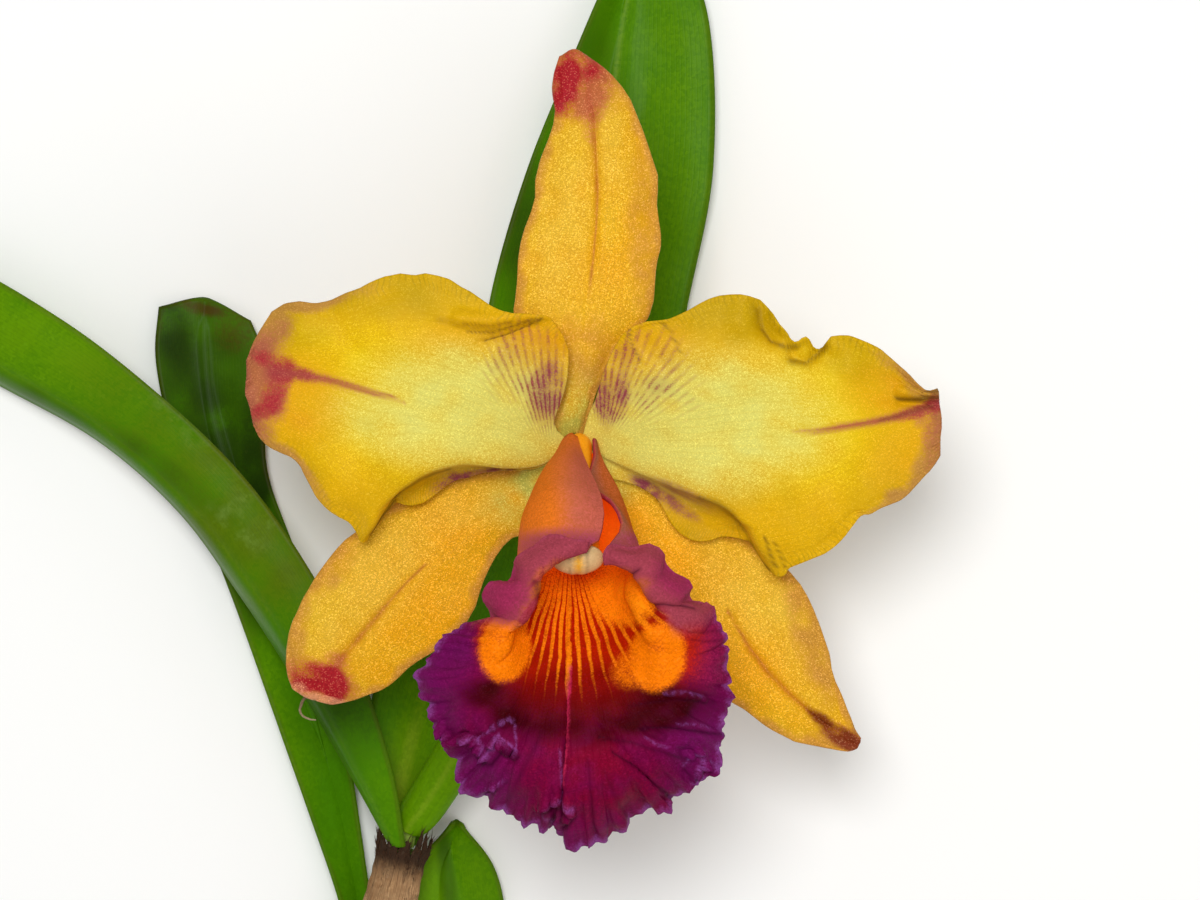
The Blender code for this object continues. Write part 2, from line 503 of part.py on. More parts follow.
def main():
    for obj in list(bpy.data.objects):
        bpy.data.objects.remove(obj, do_unlink=True)
    growth = bpy.data.collections.new("cattleya_orchid")
    bpy.context.scene.collection.children.link(growth)
    frame = bpy.data.objects.new("growth_frame", None)
    frame.location = (PLAN_SHIFT[0] * MM, PLAN_SHIFT[1] * MM, 0)
    growth.objects.link(frame)

    gold_petal = material("gold petal", (0.62, 0.38, 0.01), 0.5)
    amber_sepal = material("amber sepal", (0.68, 0.34, 0.02), 0.5)
    magenta_lip = material("magenta lip", (0.24, 0.008, 0.12), 0.45)
    orange_column = material("orange column", (0.78, 0.22, 0.01), 0.45)
    cream_cap = material("cream anther cap", (0.75, 0.62, 0.36), 0.4)
    green_leaf = material("green leaf", (0.05, 0.2, 0.005), 0.35)
    green_stalk = material("pale green stalk", (0.2, 0.3, 0.06), 0.45)
    green_bulb = material("ribbed green pseudobulb", (0.12, 0.22, 0.03), 0.45)
    tan_bract = material("tan papery bract", (0.32, 0.19, 0.09), 0.85)

    pseudobulb(growth, frame, green_bulb)
    papery_bract(growth, frame, tan_bract)
    leaf("leaf_top", TOP_LEAF, growth, frame, green_leaf)
    leaf("leaf_left", LEFT_LEAF, growth, frame, green_leaf)
    leaf("leaf_back", BACK_LEAF, growth, frame, green_leaf)
    leaf("leaf_low", LOW_LEAF, growth, frame, green_leaf)
    floral_sheath(growth, frame, green_leaf)
    flower_stalk(growth, frame, green_stalk)
    sepal("dorsal_sepal", DORSAL_SEPAL, growth, frame, amber_sepal)
    sepal("lateral_sepal_left", LEFT_SEPAL, growth, frame, amber_sepal)
    sepal("lateral_sepal_right", RIGHT_SEPAL, growth, frame, amber_sepal)
    petal("petal_left", LEFT_PETAL, 9, growth, frame, gold_petal)
    petal("petal_right", RIGHT_PETAL, 10, growth, frame, gold_petal)
    lip(growth, frame, magenta_lip)
    column(growth, frame, orange_column)
    anther_cap(growth, frame, cream_cap)


main()
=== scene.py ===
import math

import bmesh
import bpy
import numpy as np
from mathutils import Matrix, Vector


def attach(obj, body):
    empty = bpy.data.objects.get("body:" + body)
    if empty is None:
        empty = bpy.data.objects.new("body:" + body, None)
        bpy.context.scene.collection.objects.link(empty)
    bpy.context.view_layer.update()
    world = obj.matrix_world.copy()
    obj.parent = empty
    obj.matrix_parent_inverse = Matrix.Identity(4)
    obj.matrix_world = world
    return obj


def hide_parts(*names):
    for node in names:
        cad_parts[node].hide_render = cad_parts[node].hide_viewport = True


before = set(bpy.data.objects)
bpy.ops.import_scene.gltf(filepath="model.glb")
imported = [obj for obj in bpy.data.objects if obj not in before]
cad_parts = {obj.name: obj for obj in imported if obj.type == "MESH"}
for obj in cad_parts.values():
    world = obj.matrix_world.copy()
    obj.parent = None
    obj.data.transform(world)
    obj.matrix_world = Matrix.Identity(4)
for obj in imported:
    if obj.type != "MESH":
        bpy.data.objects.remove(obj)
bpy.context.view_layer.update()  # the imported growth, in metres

# Sizes below are millimetres in the growth's own frame: +Y towards the dorsal sepal, +Z to the viewer.
# Places ending in Px are pixels of the 1200 x 900 photograph, looked at from photoView.
# Tables are texts of numbers. A rail has x, y, z and an edge x, y for each point; a blot has x, y, two
# half widths, turn, softness and strength; a line has a half width, a share and then x, y for each point.
growthShift = np.array((45.5, 44.5, 0.0))  # from the growth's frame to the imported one
photoView = {
    "height": 755.0, "widthPx": 1200, "centrePx": (600.0, 450.0), "planeZ": 55.0, "mmPerPx": 0.18,
    "sensorMm": 36.0,
}


def table(width, text):
    return np.array(text.split(), float).reshape(-1, width)


def toWorld(points):
    return (np.asarray(points, float) + growthShift) * 0.001


def mmPerPixel(z):
    reach = photoView["height"] - photoView["planeZ"]
    return photoView["mmPerPx"] * (photoView["height"] - z) / reach


def seenPx(points):  # where the photograph shows each point
    size = mmPerPixel(points[..., 2])
    across = photoView["centrePx"][0] + points[..., 0] / size
    down = photoView["centrePx"][1] - points[..., 1] / size
    return np.stack([across, down], axis=-1)


def fromPx(x, y, z):  # the point at depth z that the photograph shows at this pixel
    size = mmPerPixel(z)
    return (x - photoView["centrePx"][0]) * size, (photoView["centrePx"][1] - y) * size, z


def smooth(value, low, high):  # 0 at low, 1 at high, with soft ends
    t = np.clip((np.asarray(value, float) - low) / (high - low), 0, 1)
    return t * t * (3 - 2 * t)


def bell(value, width):  # 1 at 0, fading away on both sides past the width
    return np.exp(-((value / width) ** 2))


def unit(vectors):
    return vectors / np.maximum(np.linalg.norm(vectors, axis=-1, keepdims=True), 1e-9)


def catmullWeights(count, places):  # a smooth curve through count points, at places from 0 to 1
    weights = np.zeros((len(places), count))
    for row, place in enumerate(places):
        spot = place * (count - 1)
        first = min(int(spot), count - 2)
        f = spot - first
        parts = (
            -0.5 * f + f * f - 0.5 * f**3,
            1 - 2.5 * f * f + 1.5 * f**3,
            0.5 * f + 2 * f * f - 1.5 * f**3,
            -0.5 * f * f + 0.5 * f**3,
        )
        for index, part in zip(range(first - 1, first + 3), parts):
            if 0 <= index < count:
                weights[row, index] += part
            else:  # past an end the curve runs straight on
                end, beside = (0, 1) if index < 0 else (-1, -2)
                weights[row, end] += 2 * part
                weights[row, beside] -= part
    return weights


def smoothPath(points, samples):
    return catmullWeights(len(points), np.linspace(0, 1, samples)) @ np.array(points, float)


def loft(rails, along, across):  # the surface through the rails at these places, as [along, across, xyz]
    rails = np.array([table(3, rail) if isinstance(rail, str) else rail for rail in rails])
    alongWeights, acrossWeights = (
        catmullWeights(count, np.linspace(0, 1, places + 1) if isinstance(places, int) else places)
        for count, places in ((rails.shape[1], along), (rails.shape[0], across)))
    return np.einsum("ui,vj,jik->uvk", alongWeights, acrossWeights, rails)


def surfaceNormals(points):
    return unit(np.cross(np.gradient(points, axis=1), np.gradient(points, axis=0)))


def lengthsAlong(path):
    return np.concatenate([[0], np.cumsum(np.linalg.norm(np.diff(path, axis=0), axis=1))])


def ripple(x, y, wavelength, seed, waves=9):  # smooth uneven waves, about -1 to 1
    draw = np.random.default_rng(seed)
    total = np.zeros(np.broadcast(x, y).shape)
    for _ in range(waves):
        turn, phase, stretch = draw.uniform(0, math.pi), draw.uniform(0, 2 * math.pi), draw.uniform(0.6, 1.5)
        run = (x * math.cos(turn) + y * math.sin(turn)) * 2 * math.pi / (wavelength * stretch)
        total += np.sin(run + phase)
    return total / math.sqrt(waves / 2) / 1.6  # the last keeps most of it within 1


def rippleOver(places, wavelength, seed):
    return ripple(places[..., 0], places[..., 1], wavelength, seed)


def blot(seen, x, y, halfX, halfY, turn, soft):  # 1 inside an ellipse, fading over its soft share
    dx, dy = seen[..., 0] - x, seen[..., 1] - y
    c, s = math.cos(math.radians(turn)), math.sin(math.radians(turn))
    reach = np.hypot((c * dx + s * dy) / halfX, (c * dy - s * dx) / halfY)
    return smooth(reach, 1 + soft / 2, 1 - soft / 2)


def painted(seen, blots, uneven):  # a mark for each text of blots, stronger and weaker with uneven
    marks = {}
    for label, text in blots.items():
        spots = [strength * blot(seen, *spot) for *spot, strength in table(7, text)]
        marks[label] = np.clip(np.max(spots, axis=0) * (1 + uneven), 0, 1)
    return marks


def stroke(seen, line):  # a soft line through rows of x, y and half width
    best = np.zeros(seen.shape[:-1])
    for start, end in zip(line, line[1:]):
        run = (end - start)[:2]
        t = np.clip(((seen - start[:2]) @ run) / (run @ run), 0, 1)
        away = np.linalg.norm(seen - start[:2] - t[..., None] * run, axis=-1)
        best = np.maximum(best, bell(away, start[2] + (end[2] - start[2]) * t))
    return best


def drawn(seen, text):  # the half width, share and mark of each line in the text
    for part in text.split(","):
        width, share, *line = map(float, part.split())
        yield width, share, stroke(seen, np.insert(np.reshape(line, (-1, 2)), 2, width, axis=1))


def strongest(seen, text):  # the text's lines as one mark
    return np.max([share * mark for _, share, mark in drawn(seen, text)], axis=0)


def missBy(edge, target):  # how far each point is, in mm, from where the photograph shows it
    return (target - seenPx(edge)) * mmPerPixel(edge[:, 2])[:, None] * (1, -1)


def fitEdge(points, col, edgePx, weights):  # moves a margin onto the outline the photograph shows
    edge, outline = points[:, col], table(2, edgePx)
    at, marks = (lengthsAlong(line) / lengthsAlong(line)[-1] for line in (seenPx(edge), outline))
    target = np.stack([np.interp(at, marks, outline[:, k]) for k in (0, 1)], axis=-1)
    points[..., :2] += missBy(edge, target)[:, None] * weights[..., None]


# Meshes

def addMarks(mesh, marks, kind="FLOAT", field="value"):  # stores each mark as an attribute of the points
    for label, values in marks.items():
        values = np.ravel(values).astype(np.float32)
        mesh.attributes.new(label, kind, "POINT").data.foreach_set(field, values)


def bladeMesh(name, points, thickness, marks, backMarks={}):
    # A closed two-sided blade: its front, its back and a rounded rim between them. The back has the same
    # marks as the front but for backMarks.
    rows, cols = points.shape[:2]
    count = rows * cols
    index = np.arange(count).reshape(rows, cols)
    rim = np.concatenate([index[0, :], index[1:, -1], index[-1, -2::-1], index[-2:0:-1, 0]])
    flat, normals = points.reshape(-1, 3), surfaceNormals(points).reshape(-1, 3)
    half = np.broadcast_to(thickness, (rows, cols)).reshape(-1, 1) / 2
    step = np.roll(flat[rim], -1, axis=0) - np.roll(flat[rim], 1, axis=0)
    edge = flat[rim] + unit(np.cross(step, normals[rim])) * half[rim] * 0.7  # a blunt rounding
    verts = np.concatenate([flat + normals * half, flat - normals * half, edge])
    a, b, c, d = (part.ravel() for part in (index[:-1, :-1], index[:-1, 1:], index[1:, 1:], index[1:, :-1]))
    ring = 2 * count + np.arange(len(rim))
    ringNext, rimNext = np.roll(ring, -1), np.roll(rim, -1)
    faces = np.concatenate([np.stack(corners, axis=1) for corners in (
        (a, b, c, d),
        (d + count, c + count, b + count, a + count),
        (rimNext, rim, ring, ringNext),
        (ringNext, ring, rim + count, rimNext + count),
    )])
    mesh = bpy.data.meshes.new(name)
    mesh.from_pydata(toWorld(verts).tolist(), [], faces.tolist())
    mesh.shade_smooth()
    front = {"fan": np.linspace(0, 1, cols), **marks, "side": 0}
    for label, behind in {**front, **backMarks, "side": 1}.items():
        both = [np.broadcast_to(mark, (rows, cols)).ravel() for mark in (front.get(label, 0), behind)]
        addMarks(mesh, {label: np.concatenate([*both, both[0][rim]])})
    u, v = np.meshgrid(np.linspace(0, 1, rows), np.linspace(0, 1, cols), indexing="ij")
    uv = np.stack([u.ravel(), v.ravel()], axis=1)
    uv = np.concatenate([uv, uv, uv[rim]])
    corners = np.empty(len(mesh.loops), np.int32)
    mesh.loops.foreach_get("vertex_index", corners)
    mesh.uv_layers.new(name="blade").data.foreach_set("uv", uv[corners].ravel())
    return mesh


def addToScene(name, data):
    thing = bpy.data.objects.new(name, data)
    bpy.context.scene.collection.objects.link(thing)
    return thing


def addPiece(mesh, material, nodes):
    piece = addToScene(mesh.name, mesh)
    if not mesh.materials:
        mesh.materials.append(material)
    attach(piece, "root")
    if nodes:
        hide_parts(*nodes)
    print(f"{mesh.name}: {len(mesh.polygons)} faces")


def bladePlaces(points):  # how far each point lies along the blade, from its midrib and from its rim
    middle = points.shape[1] // 2
    along = np.repeat(lengthsAlong(points[:, middle])[:, None], points.shape[1], axis=1)
    steps = np.linalg.norm(np.diff(points, axis=1), axis=2)
    fromLow = np.concatenate([np.zeros((len(points), 1)), np.cumsum(steps, axis=1)], axis=1)
    rim = np.minimum(np.minimum(fromLow, fromLow[:, -1:] - fromLow), along[-1, 0] - along)
    return along, fromLow - fromLow[:, middle][:, None], rim


# Materials

def hexLinear(code):  # an sRGB hex colour as linear red, green, blue, alpha
    parts = [int(code[k:k + 2], 16) / 255 for k in (1, 3, 5)]
    return (*(p / 12.92 if p <= 0.04045 else ((p + 0.055) / 1.055) ** 2.4 for p in parts), 1.0)


def nodeAdder(tree):
    # Gives the function that adds a node, named with its operation after a colon where it has one. Values
    # and links fill its open inputs in turn, or the input a capital letter names, and a text there is an
    # attribute's name. Small letters name its settings. The first open output comes back, or the one asked.
    # MapRange takes a value, the two ends of its range and the two ends they go to, 0 and 1 if not given.
    def add(kind, *given, out=None, **named):
        kind, _, operation = kind.partition(":")
        families = ("ShaderNode", "GeometryNode", "FunctionNode", "")
        node = tree.nodes.new(next(family + kind for family in families if hasattr(bpy.types, family + kind)))
        if operation:
            node.operation = operation
        for key, value in named.items():
            if key[0].islower():
                setattr(node, key, value)
        sources = list(zip([socket for socket in node.inputs if socket.enabled], given))
        sources += [(node.inputs[key.replace("_", " ")], named[key]) for key in named if key[0].isupper()]
        for socket, source in sources:
            if isinstance(source, str) and socket.type != "STRING":
                source = add("Attribute", attribute_name=source, out="Fac")
            if isinstance(source, bpy.types.NodeSocket):
                tree.links.new(source, socket)
            else:
                socket.default_value = source
        results = (socket for socket in node.outputs if socket.enabled and out in (None, socket.name))
        return next(results, None)

    return add


def newMaterial(name, **shaderValues):
    material = bpy.data.materials.new(name)
    material.use_nodes = True
    for socket, value in shaderValues.items():
        material.node_tree.nodes["Principled BSDF"].inputs[socket.replace("_", " ")].default_value = value
    add = nodeAdder(material.node_tree)
    return material, add, add("Mapping", add("TexCoord", out="Object"), Scale=(1000, 1000, 1000))


def finishSkin(material, colour, *bumps):  # a bump's height, strength, millimetres and whether it goes in
    add, tree, below = nodeAdder(material.node_tree), material.node_tree, {}
    for height, strength, depth, inward in bumps:
        below["Normal"] = add(
            "Bump", Strength=strength, Distance=0.001 * depth, Height=height, invert=inward, **below)
    shader = tree.nodes["Principled BSDF"]
    tree.links.new(colour, shader.inputs["Base Color"])
    tree.links.new(below["Normal"], shader.inputs["Normal"])
    return material


def glaze(add, palette, base, layers, grain, spread):
    # Lays each colour over the last by its mark, and lets the tissue's cells break up its edge.
    # A layer is a colour, its mark, which may carry the colour's own name, and its strength.
    colour = hexLinear(palette.get(base, base))
    shake = add("Math:SUBTRACT", grain, 0.5)
    for name, *mark, strength in layers:
        mask = mark[0] if mark else name
        if isinstance(mask, str):
            mask = add("Attribute", attribute_name=mask, out="Fac")
        edge = add("Math:MULTIPLY", mask, add("Math:SUBTRACT", 1.0, mask))
        wide = add("Math:MULTIPLY_ADD", add("Math:MULTIPLY", edge, shake), spread, mask)
        factor = add("Math:MULTIPLY", wide, strength, use_clamp=True)
        colour = add("Mix", factor, colour, hexLinear(palette.get(name, name)), data_type="RGBA")
    return colour


def cellGrain(add, place, cellMm):
    # One random value for each cell of the skin, and its dome. Real cells are near 0.05 mm, too small for
    # the frame to show, so every skin here is drawn coarser: as coarse as the photograph's glitter.
    cells = add("TexVoronoi", place, Scale=1 / cellMm).node.outputs
    return add("SeparateColor", cells["Color"]), cells["Distance"]


def speckle(add, colour, grain, low, high, sparkAt, sparkCode, sparkShare):
    # Each cell a little darker or lighter, and a few painted lighter still: painted glints that catch the
    # light
    scaled = add("VectorMath:SCALE", colour, add("MapRange", grain, 0.0, 1.0, low, high))
    tint = [0.22 * part for part in hexLinear(sparkCode)[:3]]
    light = add("VectorMath:MULTIPLY_ADD", colour, (1.4, 1.4, 1.4), tint)
    spark = add("MapRange", grain, sparkAt, 1.0, 0.0, sparkShare)
    return add("Mix", spark, scaled, light, data_type="RGBA")


def clouds(add, place, scale, detail, low, high):  # broad noise, and the same with a range drawn out
    broad = add("TexNoise", place, Scale=scale, Detail=detail)
    return broad, add("MapRange", broad, low, high)


def mottled(add, place, label, scale, share):  # a mark whose edge breaks up into flecks
    fleck = add("TexNoise", place, Scale=scale, Detail=6.0, Roughness=0.65)
    mixed = add("Math:MULTIPLY_ADD", fleck, share, label)
    middle = share * 0.5 + 0.5  # the noise's own middle, and halfway up the mark
    return add("MapRange", mixed, middle - 0.35, middle + 0.35)


def combed(add, run, count, thin):  # lines across a run, so many to each unit of it
    wave = add("Math:COSINE", add("Math:MULTIPLY", run, 2 * math.pi * count))
    return add("MapRange", wave, thin, 1.0)


def veinLines(add, count, wander, place, thin, source="fan"):  # lines that fan out from base to tip
    drift = add("TexNoise", place, Scale=0.12, Detail=3.0)
    return combed(add, add("Math:MULTIPLY_ADD", drift, wander, source), count, thin)


# Petals: thin soft skin of domed cells over gold, with broken maroon lines near the claw

petalSkin = {
    "cellMm": 0.16,
    "gold": "#DCAA00", "sun": "#E4C004", "pale": "#D8D064", "patch": "#83324A", "amber": "#D89400",
    "tan": "#B07C3A", "blush": "#A85644", "crimson": "#A41830", "streak": "#A0403C", "stripe": "#8A2C3C",
    # crease is the colour of the painted shade along the folds and under the ruffles
    "crease": "#5E3E04", "olive": "#C29A04", "hair": "#8A7404", "upper": "#B09202",
}


def petalMaterial(skin):
    # Wax over domed cells: to the eye matt gold that glitters in tiny painted glints and deepens along the
    # veins, with painted shade along its folds
    material, add, place = newMaterial("petal, waxy gold tissue", Roughness=0.5, Specular_IOR_Level=0.10)
    grain, dome = cellGrain(add, place, skin["cellMm"])
    veins = veinLines(add, 36, 0.03, place, 0.55)
    broad, cloudy = clouds(add, place, 0.09, 4.0, 0.45, 0.75)
    _, left = clouds(add, place, 0.5, 4.0, 0.32, 0.52)
    hairs = combed(add, add("Math:MULTIPLY_ADD", broad, 5.0, "alongMm"), 1 / 0.62, 0.3)
    hair = add("Math:MULTIPLY", add("Math:MULTIPLY", hairs, "hair"), left)
    patchy = add("Math:MULTIPLY", "patch", add("MapRange", left, 0.0, 1.0, 0.4, 1.0))
    dotted = add("MapRange", grain, 0.1, 1.0, 0.45, 1.0)
    stripes = add("Math:MULTIPLY", veinLines(add, 1, 0.9, place, -0.3, "spokes"), dotted)
    solid = add("Math:MULTIPLY_ADD", "stripes", 0.9, -0.4)
    filled = add("Math:ADD", add("Math:MULTIPLY", stripes, left), solid, use_clamp=True)
    colour = glaze(add, skin, "gold", [
        ("olive", cloudy, 0.7), ("sun", 1.0), ("upper", 0.6), ("amber", 0.8), ("pale", 1.0),
        ("olive", veins, 0.10), ("hair", hair, 0.38),
        ("tan", mottled(add, place, "tan", 0.9, 0.6), 0.85),
        ("blush", mottled(add, place, "blush", 1.1, 0.7), 0.85),
        ("crimson", mottled(add, place, "flush", 1.3, 0.8), 0.9),
        ("streak", 0.9), ("stripe", add("Math:MULTIPLY", filled, "stripes"), 0.95),
        # crease: painted shade along the folds and under the ruffles
        ("patch", patchy, 0.9), ("crease", 0.8),
    ], grain, 2.2)
    colour = speckle(add, colour, grain, 0.88, 1.10, 0.84, "#FFF090", 0.34)
    return finishSkin(material, colour, (dome, 0.35, 0.08, True), (veins, 0.18, 0.2, True))


def petalMarks(points, spec):
    seen = seenPx(points)
    along, _, rim = bladePlaces(points)
    uneven = rippleOver(seen, 38, spec["seed"])
    marks = painted(seen, spec["blots"], 0.22 * uneven)
    rimTan = smooth(rim + 0.8 * uneven, 3.0, 0.3) * blot(seen, *spec["rimTan"])
    marks["tan"] = np.maximum(marks["tan"], rimTan)
    x, y, step = spec["spokes"]
    spoke = np.degrees(np.arctan2(seen[..., 0] - x, np.maximum(y - seen[..., 1], 4)))
    return {
        **marks, "spokes": spoke / step, "alongMm": along, "streak": stroke(seen, table(3, spec["streakPx"])),
        "hair": smooth(rim + 0.8 * uneven, 4.5, 0.2) * smooth(along, 12, 20),
        # painted shade along the folds and under the ruffles
        "crease": strongest(seen, spec["creaseShadeLines"]),
    }


def makePetal(name, spec, material, node):
    along, across = spec["cells"]
    points = loft(spec["rails"], along, across)
    u = np.linspace(0, 1, along + 1)[:, None]
    v = np.linspace(0, 1, across + 1)[None, :]
    tucked = smooth(u, *spec["tuckEnds"])  # the lower flap is tucked behind as far as this
    fold = spec["foldAt"]
    down = np.clip((fold - v) / fold, 0, 1)  # 0 on the fold, 1 on the tucked rim
    ridge = points[:, round(fold * across)][:, None]
    drop = (1 - (1 - down) ** spec["foldSharp"])[..., None]
    spread = (down ** spec["foldSpread"])[..., None]
    folded = ridge + (points[:, :1] - ridge) * np.concatenate([spread, spread, drop], axis=2)
    share = (tucked * (v < fold))[..., None]
    points = points * (1 - share) + folded * share
    fitEdge(points, -1, spec["upperEdgePx"], smooth(v, 0.55, 1.0))
    fitEdge(points, 0, spec["lowerEdgePx"], smooth(v, 0.5 + (fold - 0.5) * tucked, 0.0))
    for _, lift, mark in drawn(seenPx(points), spec["ruffles"]):
        points[..., 2] += lift * mark * (1 - share[..., 0])
    alongMm, _, rim = bladePlaces(points)
    nearRim = smooth(rim, 4.5, 0.0) * smooth(alongMm, 2.0, 12.0)
    waves = ripple(alongMm, v * 40, 6.5, spec["seed"] + 1)
    crimp = ripple(alongMm, v * 60, 2.2, spec["seed"] + 2)
    points[..., 2] += nearRim * (spec["waveMm"] * waves + 0.12 * crimp)
    points[..., 2] += 0.16 * rippleOver(points, 9, spec["seed"] + 3) * smooth(alongMm, 3, 15)
    thickness = 0.38 + 0.5 * smooth(rim, 0.0, 7.0) + 0.3 * smooth(alongMm, 10, 0)
    addPiece(bladeMesh(name, points, thickness, petalMarks(points, spec)), material, [node])


petalLeft = {
    "cells": (120, 96), "seed": 11, "waveMm": 0.3,
    "spokes": (552, 473, 3.6),  # where the stripes meet, degrees between two
    "tuckEnds": (0.68, 0.56), "foldAt": 0.25, "foldSharp": 3.5, "foldSpread": 1.7,
    "rails": (
        """-6.5 -.7 50 -10.9 -3.8 49.2 -17.3 -4.4 48 -24 -5.5 47 -29.9 -8.6 47 -35.6 -9.8 48 -43 -16.5 50
        -50.1 -10.1 53.5 -57.1 -1.1 54 -62.5 4.5 53""",
        """-6.7 0 50.3 -11.2 -2.5 53 -17.1 -2.9 55.5 -24.2 -2.2 57 -30.5 -3.6 57.5 -35.9 -6.8 56.5 -41
        -10.4 55 -47.6 -4 56 -55.4 3.2 55.5 -63.1 7.6 53.5""",
        """-6.9 .7 50.6 -13 2.3 53.5 -18.7 4.1 56 -24.8 5.9 57.5 -30.8 7.5 58 -37.3 9.1 58 -44.1 11.1 57.5
        -51 12.8 56.5 -57.4 13.9 55 -63.9 10.5 53.5""",
        """-6.7 1.4 50.6 -10.6 6.8 54 -13.1 12.9 57 -17.9 16.8 59 -24.1 18.8 60 -31.5 20.4 60 -40.8 20 59.5
        -49.8 19.7 58 -57.5 18.3 56 -63.7 13 53.5""",
        """-6.5 2.2 50.4 -7 9 54.5 -5.6 17.6 58 -9.8 24.3 60 -20 26.3 60.5 -30 31.8 59.5 -41.9 29.7 59
        -53.2 26.3 58 -60.6 22.3 56 -63.7 15.9 53.5""",
    ),
    "upperEdgePx": """564 438 556 431 553 422 556 412 561 400 565 387 567 375 568 362 568 350 563 337 556
        326 549 317 535 315 520 314 512 314 500 311 490 306 480 299 470 292 460 287 450 280 440 277 426 274
        415 276 400 274 385 277 372 282 360 289 345 294 330 301 315 304 300 302 285 304 272 312 262 328 254
        342 247 361""",
    "lowerEdgePx": """564 454 552 462 535 468 520 470 505 470 492 471 480 473 468 477 455 480 450 483 445
        486 438 492 430 498 422 503 412 505 403 504 396 501 385 513 374 529 366 541 361 543 357 532 350 522
        340 517 330 511 320 501 315 494 310 484 305 475 302 468 297 461 290 456 280 452 270 447 265 443 259
        436 254 425""",
    "blots": {
        "sun": "385 400 95 62 12 1.3 1 330 350 60 26 15 1.2 .5",
        "pale": "490 408 105 52 8 1.2 1 430 425 80 36 10 1.2 .8 560 440 45 30 0 1 .8",
        "amber": "545 345 34 32 20 1.1 .8 300 400 44 42 0 1.3 .75 470 335 60 16 -10 1.2 .35",
        "upper": "400 294 110 22 -3 1.2 .7 300 330 40 20 -20 1.2 .5",
        "tan": "266 330 24 34 35 1 .85 262 436 16 18 -40 1 .6",
        "blush": "262 385 26 52 4 .9 .95 278 340 18 22 30 1.2 .4",
        "flush": """284 371 13 15 20 1 1 271 360 18 9 20 1.2 .65 276 392 12 26 24 1.2 .7 266 410 17 9 -16
            1.1 .75 300 373 18 7 18 1.1 .7""",
        "stripes": """546 392 22 38 8 .9 1 524 362 40 44 14 .9 .62 478 474 34 9 -6 1 .7 442 484 16 9 -30 1
            .5""",
        "patch": "484 475 28 6.5 -6 .7 1 452 481 16 5 -24 1.1 .7 549 391 13 26 14 1.2 .6",
    },
    "rimTan": (300, 380, 90, 120, 0, 0.9),
    "streakPx": "272 372 8 300 374 6 330 380 4.2 352 386 3.6 375 393 2.8 392 397 1.8 405 402 .6",
    # painted shade: dark lines along the folds and under the ruffles
    "creaseShadeLines": """1.7 1 484 340 505 334 525 326 542 318, 1.4 .85 468 331 492 331 512 325 535 318, 1.6 .6
        462 322 490 325 512 321, 4 .35 440 320 470 326 495 328, 1.8 .9 394 501 380 518 370 534, 1.6 .7 390
        500 403 488 420 477 434 471 450 467""",
    "ruffles": """7 1.5 460 318 490 320 520 316 545 314, 5 -.9 480 342 505 335 528 325, 16 .5 372 300 395
        330 410 350, 12 -.5 330 310 345 335 355 350, 14 .6 430 280 440 310, 12 .5 300 305 300 330, 14 -.6
        300 455 330 440 360 430, 14 .7 330 495 350 475 380 455""",
}

